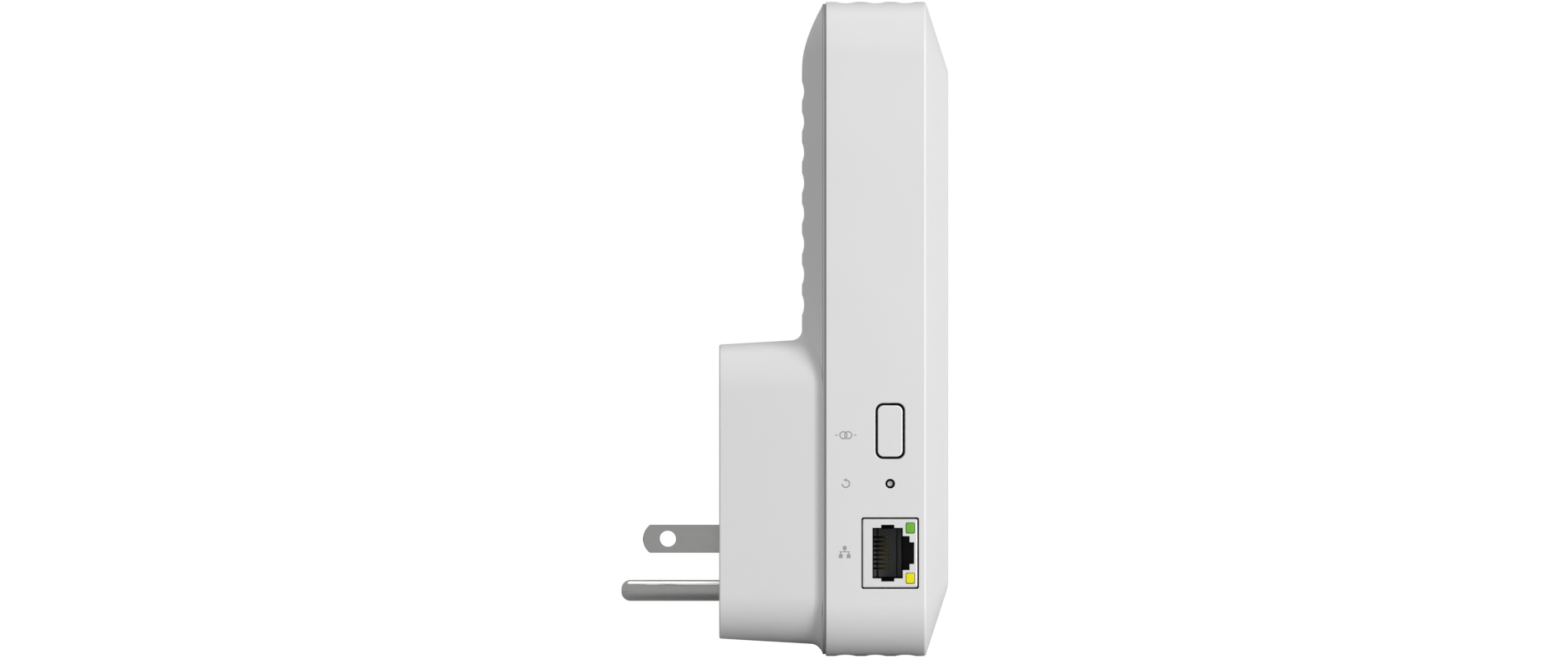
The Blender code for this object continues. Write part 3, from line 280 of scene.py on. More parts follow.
def raised(tree, shader, pattern, strength, depth):
    """Raises a surface by a pattern, its depth in millimetres."""
    settings = {"Strength": strength, "Distance": depth * MM}
    relief = add(tree, "ShaderNodeBump", settings, {"Height": pattern})
    tree.links.new(relief.outputs["Normal"], shader.inputs["Normal"])


def moulded(name, body, drift, roughness, grain, height, ior=1.5):
    """A moulded plastic: a slow drift of shade from its flow in the tool, under spark-eroded grain."""
    made, tree, shader, place = blank_finish(name, IOR=ior)
    tinted(tree, shader, body, drift, noise(tree, place, 22, 2.0))
    sparks = noise(tree, place, grain, 3.0, Roughness=0.6)
    roughened(tree, shader, sparks, roughness - 0.05, roughness + 0.05, From_Min=0.3, From_Max=0.7)
    raised(tree, shader, sparks, 0.35, height)
    return made


shell_low, shell_high, shell_mid = cad("front_shell")
jack_low, jack_high, jack_mid = cad("jack_shield")
button_low, button_high, button_mid = cad("pairing_button")
reset_low, reset_high, reset_mid = cad("reset_pin")
CROWN = 5.2  # how far the flat of the front stands ahead of the band
FACET = 16  # width of the sloping facets, seen from the front
CORNER = 12
WALL = 2.2
half_wide, half_tall = (shell_high.x - shell_low.x) / 2, (shell_high.z - shell_low.z) / 2
TONGUE = 2  # how far the rear casing's tongue reaches into the front one
seam_y, edge_y, front_y = cad("rear_shell")[0].y + TONGUE, shell_low.y + CROWN, shell_low.y
side_x, port_y = shell_low.x, jack_mid.y

front = rounded_block(
    "front_casing",
    (shell_low.x, edge_y, shell_low.z),
    (shell_high.x, seam_y, shell_high.z),
    Y,
    CORNER,
    segments=14,
)
edit(front)
draw_in(
    (half_wide, half_tall, CORNER, edge_y),
    (half_wide - FACET, half_tall - FACET, 1.5, front_y),
    shell_mid.z,
)
choose("faces", lambda face: lies_at(face, Y, seam_y))
bpy.ops.mesh.delete(type="FACE")
thicken(front, WALL)
ease(front, lambda edge: lies_at(edge, Y, edge_y), 0.45)
ease(front, lambda edge: lies_at(edge, Y, front_y), 0.8)


def on_rim(edge):
    """Whether an edge runs round the outside of the rim at the seam."""
    for point in edge.verts:
        across, up = abs(point.co.x) / MM - half_wide, abs(point.co.z / MM - shell_mid.z) - half_tall
        if max(across, up) < -0.01 and math.hypot(across + CORNER, up + CORNER) < CORNER - 0.05:
            return False
    return lies_at(edge, Y, seam_y)


ease(front, on_rim, 0.3)

for node, root_y, top_y in (
    ("case_screw", -49.4, -21.6),
    ("board_screw", -48.9, cad("main_board")[0].y - 0.3),
):
    low, high = cad(f"{node}_1")[2], cad(f"{node}_4")[2]
    post = rod("post", 2.5, (low.x, root_y, low.z), (low.x, top_y, low.z), Y)
    edit(post)
    choose("faces", lambda face: lies_at(face, Y, top_y))
    bpy.ops.mesh.inset(thickness=1.2 * MM)
    push(root_y + 4.5 - top_y)
    row(post, 2, (high.x - low.x, 0, 0))
    row(post, 2, (0, 0, high.z - low.z))
    carve(front, post, "UNION")


def scallop(face_co, axis, side, width, depth, half_run, proud):
    """A bar along X whose round underside presses a scallop of a width and depth into a face."""
    radius = ((width / 2) ** 2 + depth**2) / (2 * depth)
    middle = Vector(face_co)
    middle[axis] += side * (radius - depth)
    reach = Vector((half_run, 0, 0))
    bar = rod("scallop", radius, middle - reach, middle + reach, X, 128)
    edit(bar)
    bpy.ops.mesh.select_all(action="SELECT")
    cut = Vector(face_co)
    cut[axis] += side * proud
    normal = [0, 0, 0]
    normal[axis] = side
    bpy.ops.mesh.bisect(plane_co=cut * MM, plane_no=normal, use_fill=True, clear_outer=True)
    return pick(bar)


GROOVE, END_DEPTH, END_PITCH = 4.8, 0.32, 6.85
band_mid_y = (edge_y + seam_y) / 2
for end, end_z in ((-1, shell_low.z), (1, shell_high.z)):
    first = (0, band_mid_y - END_PITCH, end_z)
    bars = scallop(first, Z, end, GROOVE, END_DEPTH, half_wide + 1, 0.25)
    carve(front, row(bars, 3, (0, END_PITCH, 0)))
    low = (-1.5 * 11.5 - 4.25, band_mid_y - END_PITCH - 0.9, end_z - 3)
    slots = rounded_block("slot", low, (low[X] + 8.5, low[Y] + 1.8, low[Z] + 6), Z, 0.85, 6)
    row(slots, 4, (11.5, 0, 0))
    carve(front, row(slots, 3, (0, END_PITCH, 0)))

def soften_rim(piece, axis, value, centre, half, width, segments=3):
    """Rounds the sharp edges of an opening in a flat side, given its middle and half size there."""
    others = [way for way in (X, Y, Z) if way != axis]
    ease(
        piece,
        lambda edge: lies_at(edge, axis, value)
        and edge.calc_face_angle(0) > 1
        and all(
            abs(point.co[way] / MM - middle) < reach
            for point in edge.verts
            for way, middle, reach in zip(others, centre, half)
        ),
        width,
        segments,
    )


BUTTON_SLOT = 3.375, 6.4  # half its width and height, 0.5 mm wider than the cap all round
JACK_ROOM = 0.34
jack_half = (jack_high.y - jack_low.y) / 2 + JACK_ROOM, (jack_high.z - jack_low.z) / 2 + JACK_ROOM
for centre, half, radius, softness in (
    ((port_y, button_mid.z), BUTTON_SLOT, 1.77, 0.3),
    ((jack_mid.y, jack_mid.z), jack_half, 0.5, 0.06),
):
    hole = rounded_block(
        "hole",
        (side_x - 2, centre[0] - half[0], centre[1] - half[1]),
        (side_x + 4, centre[0] + half[0], centre[1] + half[1]),
        X,
        radius,
    )
    carve(front, hole)
    soften_rim(front, X, side_x, centre, (half[0] + 0.1, half[1] + 0.1), softness, 4)
hole = rod("hole", 1.1, (side_x - 2, port_y, reset_mid.z), (side_x + 4, port_y, reset_mid.z), X, 40)
carve(front, hole)
EVERYWHERE = 999
soften_rim(front, X, side_x, (0, reset_mid.z), (EVERYWHERE, 1.2), 0.08)
guide_low, guide_high, guide_mid = cad("light_guide")
window = rounded_block(
    "window",
    (guide_low.x - 0.3, front_y - 2, guide_mid.z - 1.0),
    (guide_low.x + 3.7, front_y + 4, guide_mid.z + 1.0),
    Y,
    0.5,
    5,
)
carve(front, row(window, 4, (8.5, 0, 0)))
soften_rim(front, Y, front_y, (0, guide_mid.z), (EVERYWHERE, 1.2), 0.12)

# The grain is 0.06 mm on the real tool and is drawn at 0.3 mm so that it shows.
casing_white = moulded("moulded_white_abs", "EBEBEB", "E7E7E7", 0.42, 0.3, 0.012, ior=1.53)
settle(front, casing_white)
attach(front, "casing")
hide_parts("front_shell")


# ---------------------------------------------------------------- printed marks
# Pad-printed light grey marks beside the controls: linked rings for pairing, a turning arrow for reset and
# three joined boxes for the network. The ink stands 0.02 mm proud.
def ring(name, radius, thick, middle):
    """A flat ring of ink on the side, facing -X."""
    clear()
    bpy.ops.mesh.primitive_torus_add(
        major_radius=radius * MM,
        minor_radius=thick / 2 * MM,
        major_segments=40,
        minor_segments=10,
        location=Vector(middle) * MM,
        rotation=(0, math.pi / 2, 0),
    )
    piece = named(name)
    edit(piece)
    bpy.ops.mesh.select_all(action="SELECT")
    bpy.ops.transform.resize(value=(0.04 / thick, 1, 1), center_override=Vector(middle) * MM)
    return pick(piece)


def merged(name, pieces):
    pick(pieces[0])
    for piece in pieces[1:]:
        piece.select_set(True)
    bpy.ops.object.join()
    pieces[0].name = pieces[0].data.name = name
    return pieces[0]


def inked(name, low, high):
    """A flat pad of ink with soft corners."""
    return rounded_block(name, (side_x - 0.02, *low), (side_x + 0.02, *high), X, 0.08, 3)


LABEL_Y = -27.0
ink, tree, shader, place = blank_finish("pad_printed_grey_ink", IOR=1.5)
mottle = noise(tree, place, 0.25, 2.0)
tinted(tree, shader, "A0A0A0", "ACACAC", mottle)
shader.inputs["Roughness"].default_value = 0.6

pair_y, pair_z = LABEL_Y - 2.0, button_mid.z - 0.95
linked = [
    ring("link", 0.8, 0.3, (side_x, pair_y + 0.55, pair_z)),
    ring("link", 0.8, 0.3, (side_x, pair_y - 0.55, pair_z)),
    inked("dash", (pair_y + 1.85, pair_z - 0.13), (pair_y + 2.45, pair_z + 0.13)),
    inked("dash", (pair_y - 2.45, pair_z - 0.13), (pair_y - 1.85, pair_z + 0.13)),
]
pair_mark = merged("pairing_mark", linked)

reset_y, reset_z = LABEL_Y - 2.0, reset_mid.z
turning = ring("turn", 0.85, 0.32, (side_x, reset_y, reset_z))
edit(turning)
choose(
    "faces",
    lambda face: face.calc_center_median().y / MM > reset_y + 0.05
    and 0 < face.calc_center_median().z / MM - reset_z < 0.9,
)
bpy.ops.mesh.delete(type="FACE")
choose("edges", lambda edge: edge.is_boundary)
bpy.ops.mesh.edge_face_add()
clear()
bpy.ops.mesh.primitive_cylinder_add(
    vertices=3,
    radius=0.5 * MM,
    depth=0.04 * MM,
    location=(side_x * MM, (reset_y + 0.1) * MM, (reset_z + 0.85) * MM),
    rotation=(0, math.pi / 2, 0),
)
arrow = named("arrow")
ease(arrow, lambda edge: runs_along(edge, X), 0.05, 2)
reset_mark = merged("reset_mark", [turning, arrow])

net_y, net_z = LABEL_Y - 1.75, jack_mid.z + 0.3
boxes = [
    inked("box", (net_y - 0.45, net_z + 0.45), (net_y + 0.45, net_z + 1.35)),
    inked("box", (net_y + 0.45, net_z - 1.45), (net_y + 1.35, net_z - 0.55)),
    inked("box", (net_y - 1.35, net_z - 1.45), (net_y - 0.45, net_z - 0.55)),
    inked("line", (net_y - 1.2, net_z - 0.1), (net_y + 1.2, net_z + 0.1)),
    inked("line", (net_y - 0.1, net_z), (net_y + 0.1, net_z + 0.6)),
    inked("line", (net_y + 0.8, net_z - 0.7), (net_y + 1.0, net_z)),
    inked("line", (net_y - 1.0, net_z - 0.7), (net_y - 0.8, net_z)),
]
net_mark = merged("network_mark", boxes)
for mark in (pair_mark, reset_mark, net_mark):
    mark.data.materials.clear()
    mark.data.materials.append(ink)
    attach(mark, "casing")


# ---------------------------------------------------------------- pairing button
# A keycap of the casing's ABS in a soft-edged slot, with a flange behind the wall that keeps it in and a
# stem that presses the switch.
CAP_BACK, CAP_HALF_WIDE, CAP_HALF_TALL = side_x + WALL + 0.3, 2.83, 5.85
cap = rounded_block(
    "pairing_keycap",
    (button_low.x, port_y - CAP_HALF_WIDE, button_mid.z - CAP_HALF_TALL),
    (CAP_BACK + 0.5, port_y + CAP_HALF_WIDE, button_mid.z + CAP_HALF_TALL),
    X,
    1.35,
    10,
)
ease(cap, lambda edge: lies_at(edge, X, button_low.x), 0.3, 4)
flange = rounded_block(
    "flange",
    (CAP_BACK, button_low.y, button_low.z),
    (CAP_BACK + 1, button_high.y, button_high.z),
    X,
    2.7,
)
carve(cap, flange, "UNION")
stem = rounded_block(
    "stem",
    (CAP_BACK + 0.5, port_y - 1.4, button_mid.z - 1.4),
    (button_high.x, port_y + 1.4, button_mid.z + 1.4),
    X,
    0.7,
)
carve(cap, stem, "UNION")
settle(cap, casing_white)
# The web behind the cap is painted black: painted shade that stands in for the shade deep in the slot, so the
# slot round the cap reads dark.
slot_shade_black = moulded("painted_shade_black_web", "141414", "1C1C1C", 0.7, 0.4, 0.02, ior=1.51)
cap.data.materials.append(slot_shade_black)
# The tool is polished along the cap's edge, and the edge is painted brighter than the cap: a painted
# highlight along its rim.
polished_rim_highlight = moulded("polished_abs_painted_highlight", "F8F8F8", "F4F4F4", 0.25, 0.6, 0.003, ior=1.53)
cap.data.materials.append(polished_rim_highlight)
# The faces behind the cap take the black painted shade, and a thin band at its front edge takes the painted
# highlight.
for face in cap.data.polygons:
    depth = face.center.x / MM
    face.material_index = 1 if depth > CAP_BACK - 0.01 else 2 if 0.01 < depth - button_low.x < 0.4 else 0
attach(cap, "pairing_cap")
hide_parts("pairing_button")


# ---------------------------------------------------------------- reset pin
# A moulded stem of grey acetal at the bottom of a small hole. It narrows to a plain tip that a wire presses,
# and its other end rests on the reset switch.
pin = rod("reset_stem", 0.72, (reset_low.x, port_y, reset_mid.z), (reset_high.x, port_y, reset_mid.z), X, 32)
edit(pin)
choose("verts", lambda point: lies_at(point, X, reset_low.x))
bpy.ops.transform.resize(value=(1, 0.86, 0.86), center_override=reset_mid * MM)
ease(pin, lambda edge: lies_at(edge, X, reset_low.x), 0.12)
grey_acetal = moulded("moulded_grey_acetal", "CFCFCD", "C6C6C4", 0.38, 0.25, 0.006, ior=1.48)
settle(pin, grey_acetal)
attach(pin, "reset_actuator")
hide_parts("reset_pin")


# ---------------------------------------------------------------- push switches
# Two tactile switches soldered on the board's edge, with bodies moulded in glass-filled black nylon. The
# pairing switch has a plunger of the same black that the cap presses.
def coat(material, *nodes):
    """Gives carried-over CAD nodes a material."""
    for node in nodes:
        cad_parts[node].material_slots[0].material = material


black_filled = moulded("glass_filled_black_nylon", "1C1D1D", "252626", 0.5, 0.35, 0.02, ior=1.53)
coat(black_filled, "pairing_switch_body", "pairing_switch_plunger", "reset_switch_body")


# ---------------------------------------------------------------- light guide
# Four clear acrylic pipes, moulded on one bar, carry the light of the board's LEDs to the front. Their ends
# are frosted in the tool.
guide = rounded_block(
    "status_light_guide",
    (guide_low.x, guide_low.y, guide_mid.z - 0.7),
    (guide_low.x + 3.4, guide_high.y, guide_mid.z + 0.7),
    Y,
    0.35,
    4,
)
ease(guide, lambda edge: lies_at(edge, Y, guide_low.y), 0.1, 2)
row(guide, 4, (8.5, 0, 0))
bar = block(
    "bar",
    (guide_low.x + 1, guide_mid.y - 1, guide_mid.z - 0.35),
    (guide_high.x - 1, guide_mid.y + 1, guide_mid.z + 0.35),
)
carve(guide, bar, "UNION")
frosted, tree, shader, place = blank_finish("frosted_clear_acrylic", IOR=1.49, Transmission_Weight=0.15)
frost = noise(tree, place, 0.2, 2.0)
roughened(tree, shader, frost, 0.25, 0.45)
tinted(tree, shader, "E9EEEE", "F4F7F7", frost)
settle(guide, frosted)
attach(guide, "casing")
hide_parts("light_guide")

chip_resin = moulded("white_led_package", "F0EFE4", "E8E0B8", 0.3, 0.4, 0.005, ior=1.54)
coat(chip_resin, *[f"status_led_{number}" for number in range(1, 5)])


# ---------------------------------------------------------------- network jack
# An 8P8C jack: a folded tin-plated steel shell round a black body, with two LED lenses beside the latch and
# eight gold-flashed spring contacts in a comb at the back of the cavity.
SHEET = 0.3
STEPS = (  # distance from the contact side, and half the mouth's width there
    (4.2, 5.8),
    (7.2, 6.5),
    (9.15, 5.8),
    (10.7, 3.9),
    (11.75, 2.5),
)
MOUTH_START = 2.2


def stepped_mouth(depth):
    """The mouth's stepped opening as a solid tool that reaches to a depth behind the face."""
    tool, start = None, MOUTH_START
    for distance, half in STEPS:
        step = block(
            "mouth",
            (jack_low.x - 1, jack_high.y - distance, jack_mid.z - half),
            (jack_low.x + depth, jack_high.y - start, jack_mid.z + half),
        )
        if tool:
            carve(tool, step, "UNION")
        tool = tool or step
        start = distance - 0.01
    return tool


shield = rounded_block("jack_shell", jack_low, jack_high, X, 0.35, 4)
ease(shield, lambda edge: lies_at(edge, X, jack_low.x), 0.28, 4)
edit(shield)
choose("faces", lambda face: lies_at(face, X, jack_high.x))
bpy.ops.mesh.delete(type="FACE")
thicken(shield, SHEET)
carve(shield, stepped_mouth(2))
led_boxes = [cad("jack_led_green"), cad("jack_led_amber")]
for low, high, _ in led_boxes:
    window = rounded_block(
        "window",
        (low.x - 1, low.y - 0.12, low.z - 0.12),
        (low.x + 2, high.y + 0.12, high.z + 0.12),
        X,
        0.42,
        4,
    )
    carve(shield, window)
tin, tree, shader, place = blank_finish("tin_plated_steel_sheet", Metallic=1.0)
# Rolled sheet: faint streaks 0.15 mm apart along the strip, with the dull bloom of matt tin.
rolled = add(
    tree,
    "ShaderNodeMapping",
    {"Scale": (1 / (3 * MM), 1 / (3 * MM), 1 / (0.15 * MM))},
    {"Vector": place},
)
streaks = add(tree, "ShaderNodeTexNoise", {"Scale": 1.0, "Detail": 3.0}, {"Vector": rolled.outputs["Vector"]})
tinted(tree, shader, "FDFDFD", "F3F3F3", streaks.outputs["Fac"])
roughened(tree, shader, streaks.outputs["Fac"], 0.48, 0.62)
settle(shield, tin)
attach(shield, "casing")
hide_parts("jack_shield")

body_low, body_high, _ = cad("jack_housing")
core = rounded_block("jack_body", body_low, body_high, X, 0.3, 3)
carve(core, stepped_mouth(13.5))
for low, high, _ in led_boxes:
    upper = low.z > jack_mid.z
    base, top = (low.z - 0.3, body_high.z + 1) if upper else (body_low.z - 1, high.z + 0.3)
    pocket = block("pocket", (body_low.x - 1, body_low.y - 1, base), (high.x + 0.3, high.y + 0.3, top))
    carve(core, pocket)
settle(core, black_filled)
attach(core, "casing")
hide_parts("jack_housing")

comb_low, comb_high, _ = cad("jack_contact_block")
PITCH, SLOT = 1.02, 0.5
comb = block("contact_comb", comb_low, comb_high)
slots = block(
    "slot",
    (comb_low.x - 1, jack_mid.y + 0.35, jack_mid.z - 3.5 * PITCH - SLOT / 2),
    (comb_low.x + 2.5, comb_high.y + 1, jack_mid.z - 3.5 * PITCH + SLOT / 2),
)
carve(comb, row(slots, 8, (0, 0, PITCH)))
for y, wide, deep in ((jack_mid.y + 2.62, 0.5, 2.0), (jack_mid.y - 1.75, 0.35, 1.9)):
    far = (comb_low.x + deep, y + wide, comb_high.z + 1)
    carve(comb, block("groove", (comb_low.x - 1, y, comb_low.z - 1), far))
carve(
    comb,
    block(
        "step",
        (comb_low.x - 1, comb_low.y - 1, comb_low.z - 1),
        (comb_low.x + 0.7, jack_mid.y - 1.4, comb_high.z + 1),
    ),
)
# The comb is painted a lighter grey than the body: painted light that makes up for the shade deep in the
# cavity.
comb_painted_lighter = moulded("dark_nylon_painted_lighter", "747676", "686A6A", 0.45, 0.3, 0.015, ior=1.53)
settle(comb, comb_painted_lighter)
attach(comb, "casing")
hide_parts("jack_contact_block")

contact = block(
    "spring",
    (comb_low.x + 2.1, jack_mid.y + 0.5, jack_mid.z - 3.5 * PITCH - 0.12),
    (comb_low.x + 2.35, comb_high.y - 0.1, jack_mid.z - 3.5 * PITCH + 0.12),
)
edit(contact)
choose("faces", lambda face: lies_at(face, Y, jack_mid.y + 0.5))
bpy.ops.transform.translate(value=(-1.6 * MM, 0, 0))
choose("edges", lambda edge: runs_along(edge, Z))
bpy.ops.mesh.bevel(offset=0.08 * MM, segments=2, affect="EDGES")
row(contact, 8, (0, 0, PITCH))
gold, tree, shader, place = blank_finish("gold_flashed_bronze", Metallic=1.0)
# Thin gold flash over nickel: it pales where a plug has rubbed it.
wiped = noise(tree, place, 0.6, 2.0)
tinted(tree, shader, "C79A45", "D9B872", wiped)
shader.inputs["Roughness"].default_value = 0.2
settle(contact, gold)
contact.name = contact.data.name = "jack_contacts"
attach(contact, "casing")


def lens_resin(name, body, deep):
    """Tinted epoxy, cast in a small mould: richer in the middle, with a faint glow from the die behind."""
    made, tree, shader, place = blank_finish(
        name, IOR=1.54, Roughness=0.25, Subsurface_Weight=0.25, Emission_Strength=0.12
    )
    shader.inputs["Subsurface Scale"].default_value = 0.5 * MM
    cloud = noise(tree, place, 0.9, 1.0)
    tone = tinted(tree, shader, body, deep, cloud)
    tree.links.new(tone, shader.inputs["Emission Color"])
    return made


def copied(made, name, move):
    """A copy of a finished piece with a mesh of its own, moved by some millimetres."""
    piece = made.copy()
    piece.data = made.data.copy()
    bpy.context.scene.collection.objects.link(piece)
    piece.name = piece.data.name = name
    pick(piece)
    piece.location = move * MM
    bpy.ops.object.transform_apply(location=True, rotation=False, scale=False)
    return piece


low, high, home = cad("jack_led_green")
green_lens = rounded_block("green_lens", low, high, X, 0.4, 5)
ease(green_lens, lambda edge: lies_at(edge, X, low.x), 0.18, 3)
settle(green_lens, lens_resin("green_tinted_epoxy", "78BE3A", "66AC33"))
yellow_lens = copied(green_lens, "yellow_lens", cad("jack_led_amber")[2] - home)
yellow_lens.data.materials[0] = lens_resin("yellow_tinted_epoxy", "F0E808", "E4DA08")
for lens, node, slot in (
    (green_lens, "jack_led_green", "led_green"),
    (yellow_lens, "jack_led_amber", "led_amber"),
):
    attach(lens, "casing")
    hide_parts(node)


# ---------------------------------------------------------------- rear casing
# The second ABS moulding: a curved slope from the seam up to a grooved back, and the plug housing that grows
# out of it to the wall with a soft fillet at its root. Screw wells open in the wall face.
BACK_Y, SEAM_GAP = -19.0, 0.3
RISE = 5.4
SHOULDER, SLOPE = 9, 15


def slope_ring(t, inset=0.0, sink=0.0):
    """One outline of the slope, as draw_in takes it, with t from 0 at the seam to 1 at the back."""
    drawn = 2 * t * (1 - t) * SHOULDER + t * t * SLOPE
    drawn = inset + drawn * (SLOPE - inset) / SLOPE
    y = seam_y + SEAM_GAP + (RISE - SEAM_GAP - sink) * (2 * t - t * t)
    return half_wide - drawn, half_tall - drawn, max(CORNER - drawn, 3), y


def crown(name, start, steps, inset=0.0, sink=0.0, low_y=None):
    """The slope as a closed solid from a depth near the seam up to the back."""
    first = slope_ring(start, inset, sink)
    low_y = seam_y + SEAM_GAP if low_y is None else low_y
    piece = rounded_block(
        name,
        (-first[0], low_y, shell_mid.z - first[1]),
        (first[0], first[3], shell_mid.z + first[1]),
        Y,
        first[2],
        14,
    )
    edit(piece)
    old = first
    for step in range(1, steps + 1):
        new = slope_ring(start + (1 - start) * step / steps, inset, sink)
        draw_in(old, new, shell_mid.z)
        old = new
    return pick(piece)


def crown_depth(across, up):
    """How far back the slope's surface stands at places on the back."""
    low, high = np.zeros_like(across), np.full_like(across, float(SLOPE))
    outside = np.hypot(
        np.maximum(abs(across) - (half_wide - CORNER), 0),
        np.maximum(abs(up - shell_mid.z) - (half_tall - CORNER), 0),
    )
    for _ in range(30):
        drawn = (low + high) / 2
        radius = np.maximum(CORNER - drawn, 3)
        past = np.hypot(
            np.maximum(abs(across) - (half_wide - drawn - radius), 0),
            np.maximum(abs(up - shell_mid.z) - (half_tall - drawn - radius), 0),
        )
        inside = past <= radius
        low, high = np.where(inside, drawn, low), np.where(inside, high, drawn)
    t = (2 * SHOULDER - np.sqrt(4 * SHOULDER**2 - 4 * (2 * SHOULDER - SLOPE) * low)) / (
        2 * (2 * SHOULDER - SLOPE)
    )
    y = seam_y + SEAM_GAP + (RISE - SEAM_GAP) * (2 * t - t * t)
    return np.where(outside > CORNER, -40.0, y)


SEAL_TOP = seam_y + 0.72
rear = crown("rear_casing", 0.0437, 14, low_y=SEAL_TOP)

HOUSE_WIDE, HOUSE_TALL, HOUSE_CORNER, DRAFT = 70, 67.4, 10, 1.1
house_low_z = shell_low.z + 4
house_mid_z = house_low_z + HOUSE_TALL / 2
FILLET, FILLET_STEPS, DIP = 2.3, 7, 0.03
house = rounded_block(
    "housing",
    (-HOUSE_WIDE / 2, -6, house_low_z),
    (HOUSE_WIDE / 2, 0, house_low_z + HOUSE_TALL),
    Y,
    HOUSE_CORNER,
    14,
)
edit(house)
choose("edges", lambda edge: (runs_along(edge, X) or runs_along(edge, Z)) and edge.calc_length() > 20 * MM)
bpy.ops.mesh.subdivide(number_cuts=15)


def wall_ring():
    """Places and outward ways round the housing's outline at the wall face, keyed by place."""
    inner_x, inner_z = HOUSE_WIDE / 2 - HOUSE_CORNER, HOUSE_TALL / 2 - HOUSE_CORNER
    shape = bmesh.from_edit_mesh(bpy.context.object.data)
    spots = np.array([(p.co.x / MM, p.co.z / MM) for p in shape.verts if abs(p.co.y) < 1e-6])
    centred = spots - (0, house_mid_z)
    ways = centred - np.clip(centred, (-inner_x, -inner_z), (inner_x, inner_z))
    return spots, ways / np.linalg.norm(ways, axis=1)[:, None]


spots, ways = wall_ring()
outs = np.linspace(-0.5, 6, 131)
reach = DRAFT + outs[None, :, None]
along = spots[:, None, :] + ways[:, None, :] * reach
surface = crown_depth(along[..., 0], along[..., 1])
low = surface[:, 10].copy() - 1
high = low + 12
for _ in range(40):  # roll a ball down the housing's side until it touches the slope
    middle = (low + high) / 2
    free = np.hypot(outs - FILLET, surface - middle[:, None]).min(axis=1) > FILLET
    low, high = np.where(free, low, middle), np.where(free, middle, high)
ball_y = high
touch = np.hypot(outs - FILLET, surface - ball_y[:, None]).argmin(axis=1)
rows = np.arange(len(spots))
foot = np.arctan2(surface[rows, touch] - ball_y, outs[touch] - FILLET)
stations = [(np.zeros(len(spots)), ball_y)]
for step in range(1, FILLET_STEPS + 1):
    share = step / FILLET_STEPS
    turn = -math.pi + (foot + math.pi) * share
    out = FILLET + FILLET * np.cos(turn) + DIP * share * np.cos(foot)
    stations.append((out, ball_y + FILLET * np.sin(turn) + DIP * share * np.sin(foot)))
stations.append((stations[-1][0] - 1.5, np.full(len(spots), seam_y + SEAM_GAP + 0.1)))
places = spots
choose("faces", lambda face: lies_at(face, Y, -6))
for number, (out, y) in enumerate(stations):
    if number:
        push(0)
    next_places = spots + ways * (DRAFT * -y / 19 + out)[:, None]
    shape = bmesh.from_edit_mesh(house.data)
    for point in shape.verts:
        if point.select:
            index = np.hypot(*(places - (point.co.x / MM, point.co.z / MM)).T).argmin()
            point.co = Vector((next_places[index, 0], y[index], next_places[index, 1])) * MM
    places = next_places
    bmesh.update_edit_mesh(house.data)
ease(house, lambda edge: lies_at(edge, Y, 0), 0.35, 3)
carve(rear, house, "UNION")

carve(rear, crown("inside", 0.0, 6, inset=WALL, sink=WALL, low_y=seam_y - 1))
hollow = rounded_block(
    "hollow",
    (-HOUSE_WIDE / 2 + WALL - 0.3, seam_y - 0.5, house_low_z + WALL - 0.3),
    (HOUSE_WIDE / 2 - WALL + 0.3, -WALL, house_low_z + HOUSE_TALL - WALL + 0.3),
    Y,
    8,
    8,
)
carve(rear, hollow)

def collar(name, outer, inner, low_y, high_y, radius, segments):
    """A frame that runs round inside the casing's outline, between two distances from it."""
    shapes = [
        rounded_block(
            name,
            (-half_wide + inset, low_y - past, shell_low.z + inset),
            (half_wide - inset, high_y + past, shell_high.z - inset),
            Y,
            round_by,
            segments,
        )
        for inset, round_by, past in ((outer, radius, 0), (inner, CORNER - inner + 0.7, 2))
    ]
    carve(*shapes)
    return shapes[0]


TONGUE_OUT, TONGUE_IN = WALL + 0.3, WALL + 1.3
tongue = collar("tongue", TONGUE_OUT, TONGUE_IN, seam_y - 2, seam_y + 1.2, CORNER - TONGUE_OUT + 0.7, 10)
carve(rear, tongue, "UNION")

first, last = cad("case_screw_1")[2], cad("case_screw_4")[2]
for radius, low_y, high_y, how in (
    (4.2, BACK_Y - 2.3, -WALL / 2, "UNION"),
    (3.1, BACK_Y - 0.3, 2, "DIFFERENCE"),
    (1.3, BACK_Y - 4, BACK_Y, "DIFFERENCE"),
):
    tool = rod("well", radius, (first.x, low_y, first.z), (first.x, high_y, first.z), Y, 40)
    row(tool, 2, (last.x - first.x, 0, 0))
    carve(rear, row(tool, 2, (0, 0, last.z - first.z)), how)
first, last = cad("power_screw_1")[2], cad("power_screw_2")[2]
for radius, low_y, high_y, how in ((2.5, -5.9, -1.1, "UNION"), (1.3, -8.4, -2.0, "DIFFERENCE")):
    tool = rod("post", radius, (first.x, low_y, first.z), (first.x, high_y, first.z), Y)
    carve(rear, row(tool, 2, (last.x - first.x, 0, 0)), how)

INSERT_WIDE, INSERT_LOW, INSERT_HIGH, INSERT_CORNER = 34, -17.9, 9.0, 4
opening = rounded_block(
    "opening",
    (-INSERT_WIDE / 2 - 0.3, -5, INSERT_LOW - 0.3),
    (INSERT_WIDE / 2 + 0.3, 2, INSERT_HIGH + 0.3),
    Y,
    INSERT_CORNER + 0.3,
)
carve(rear, opening)
soften_rim(rear, Y, 0, (0, 0), (33, EVERYWHERE), 0.2)

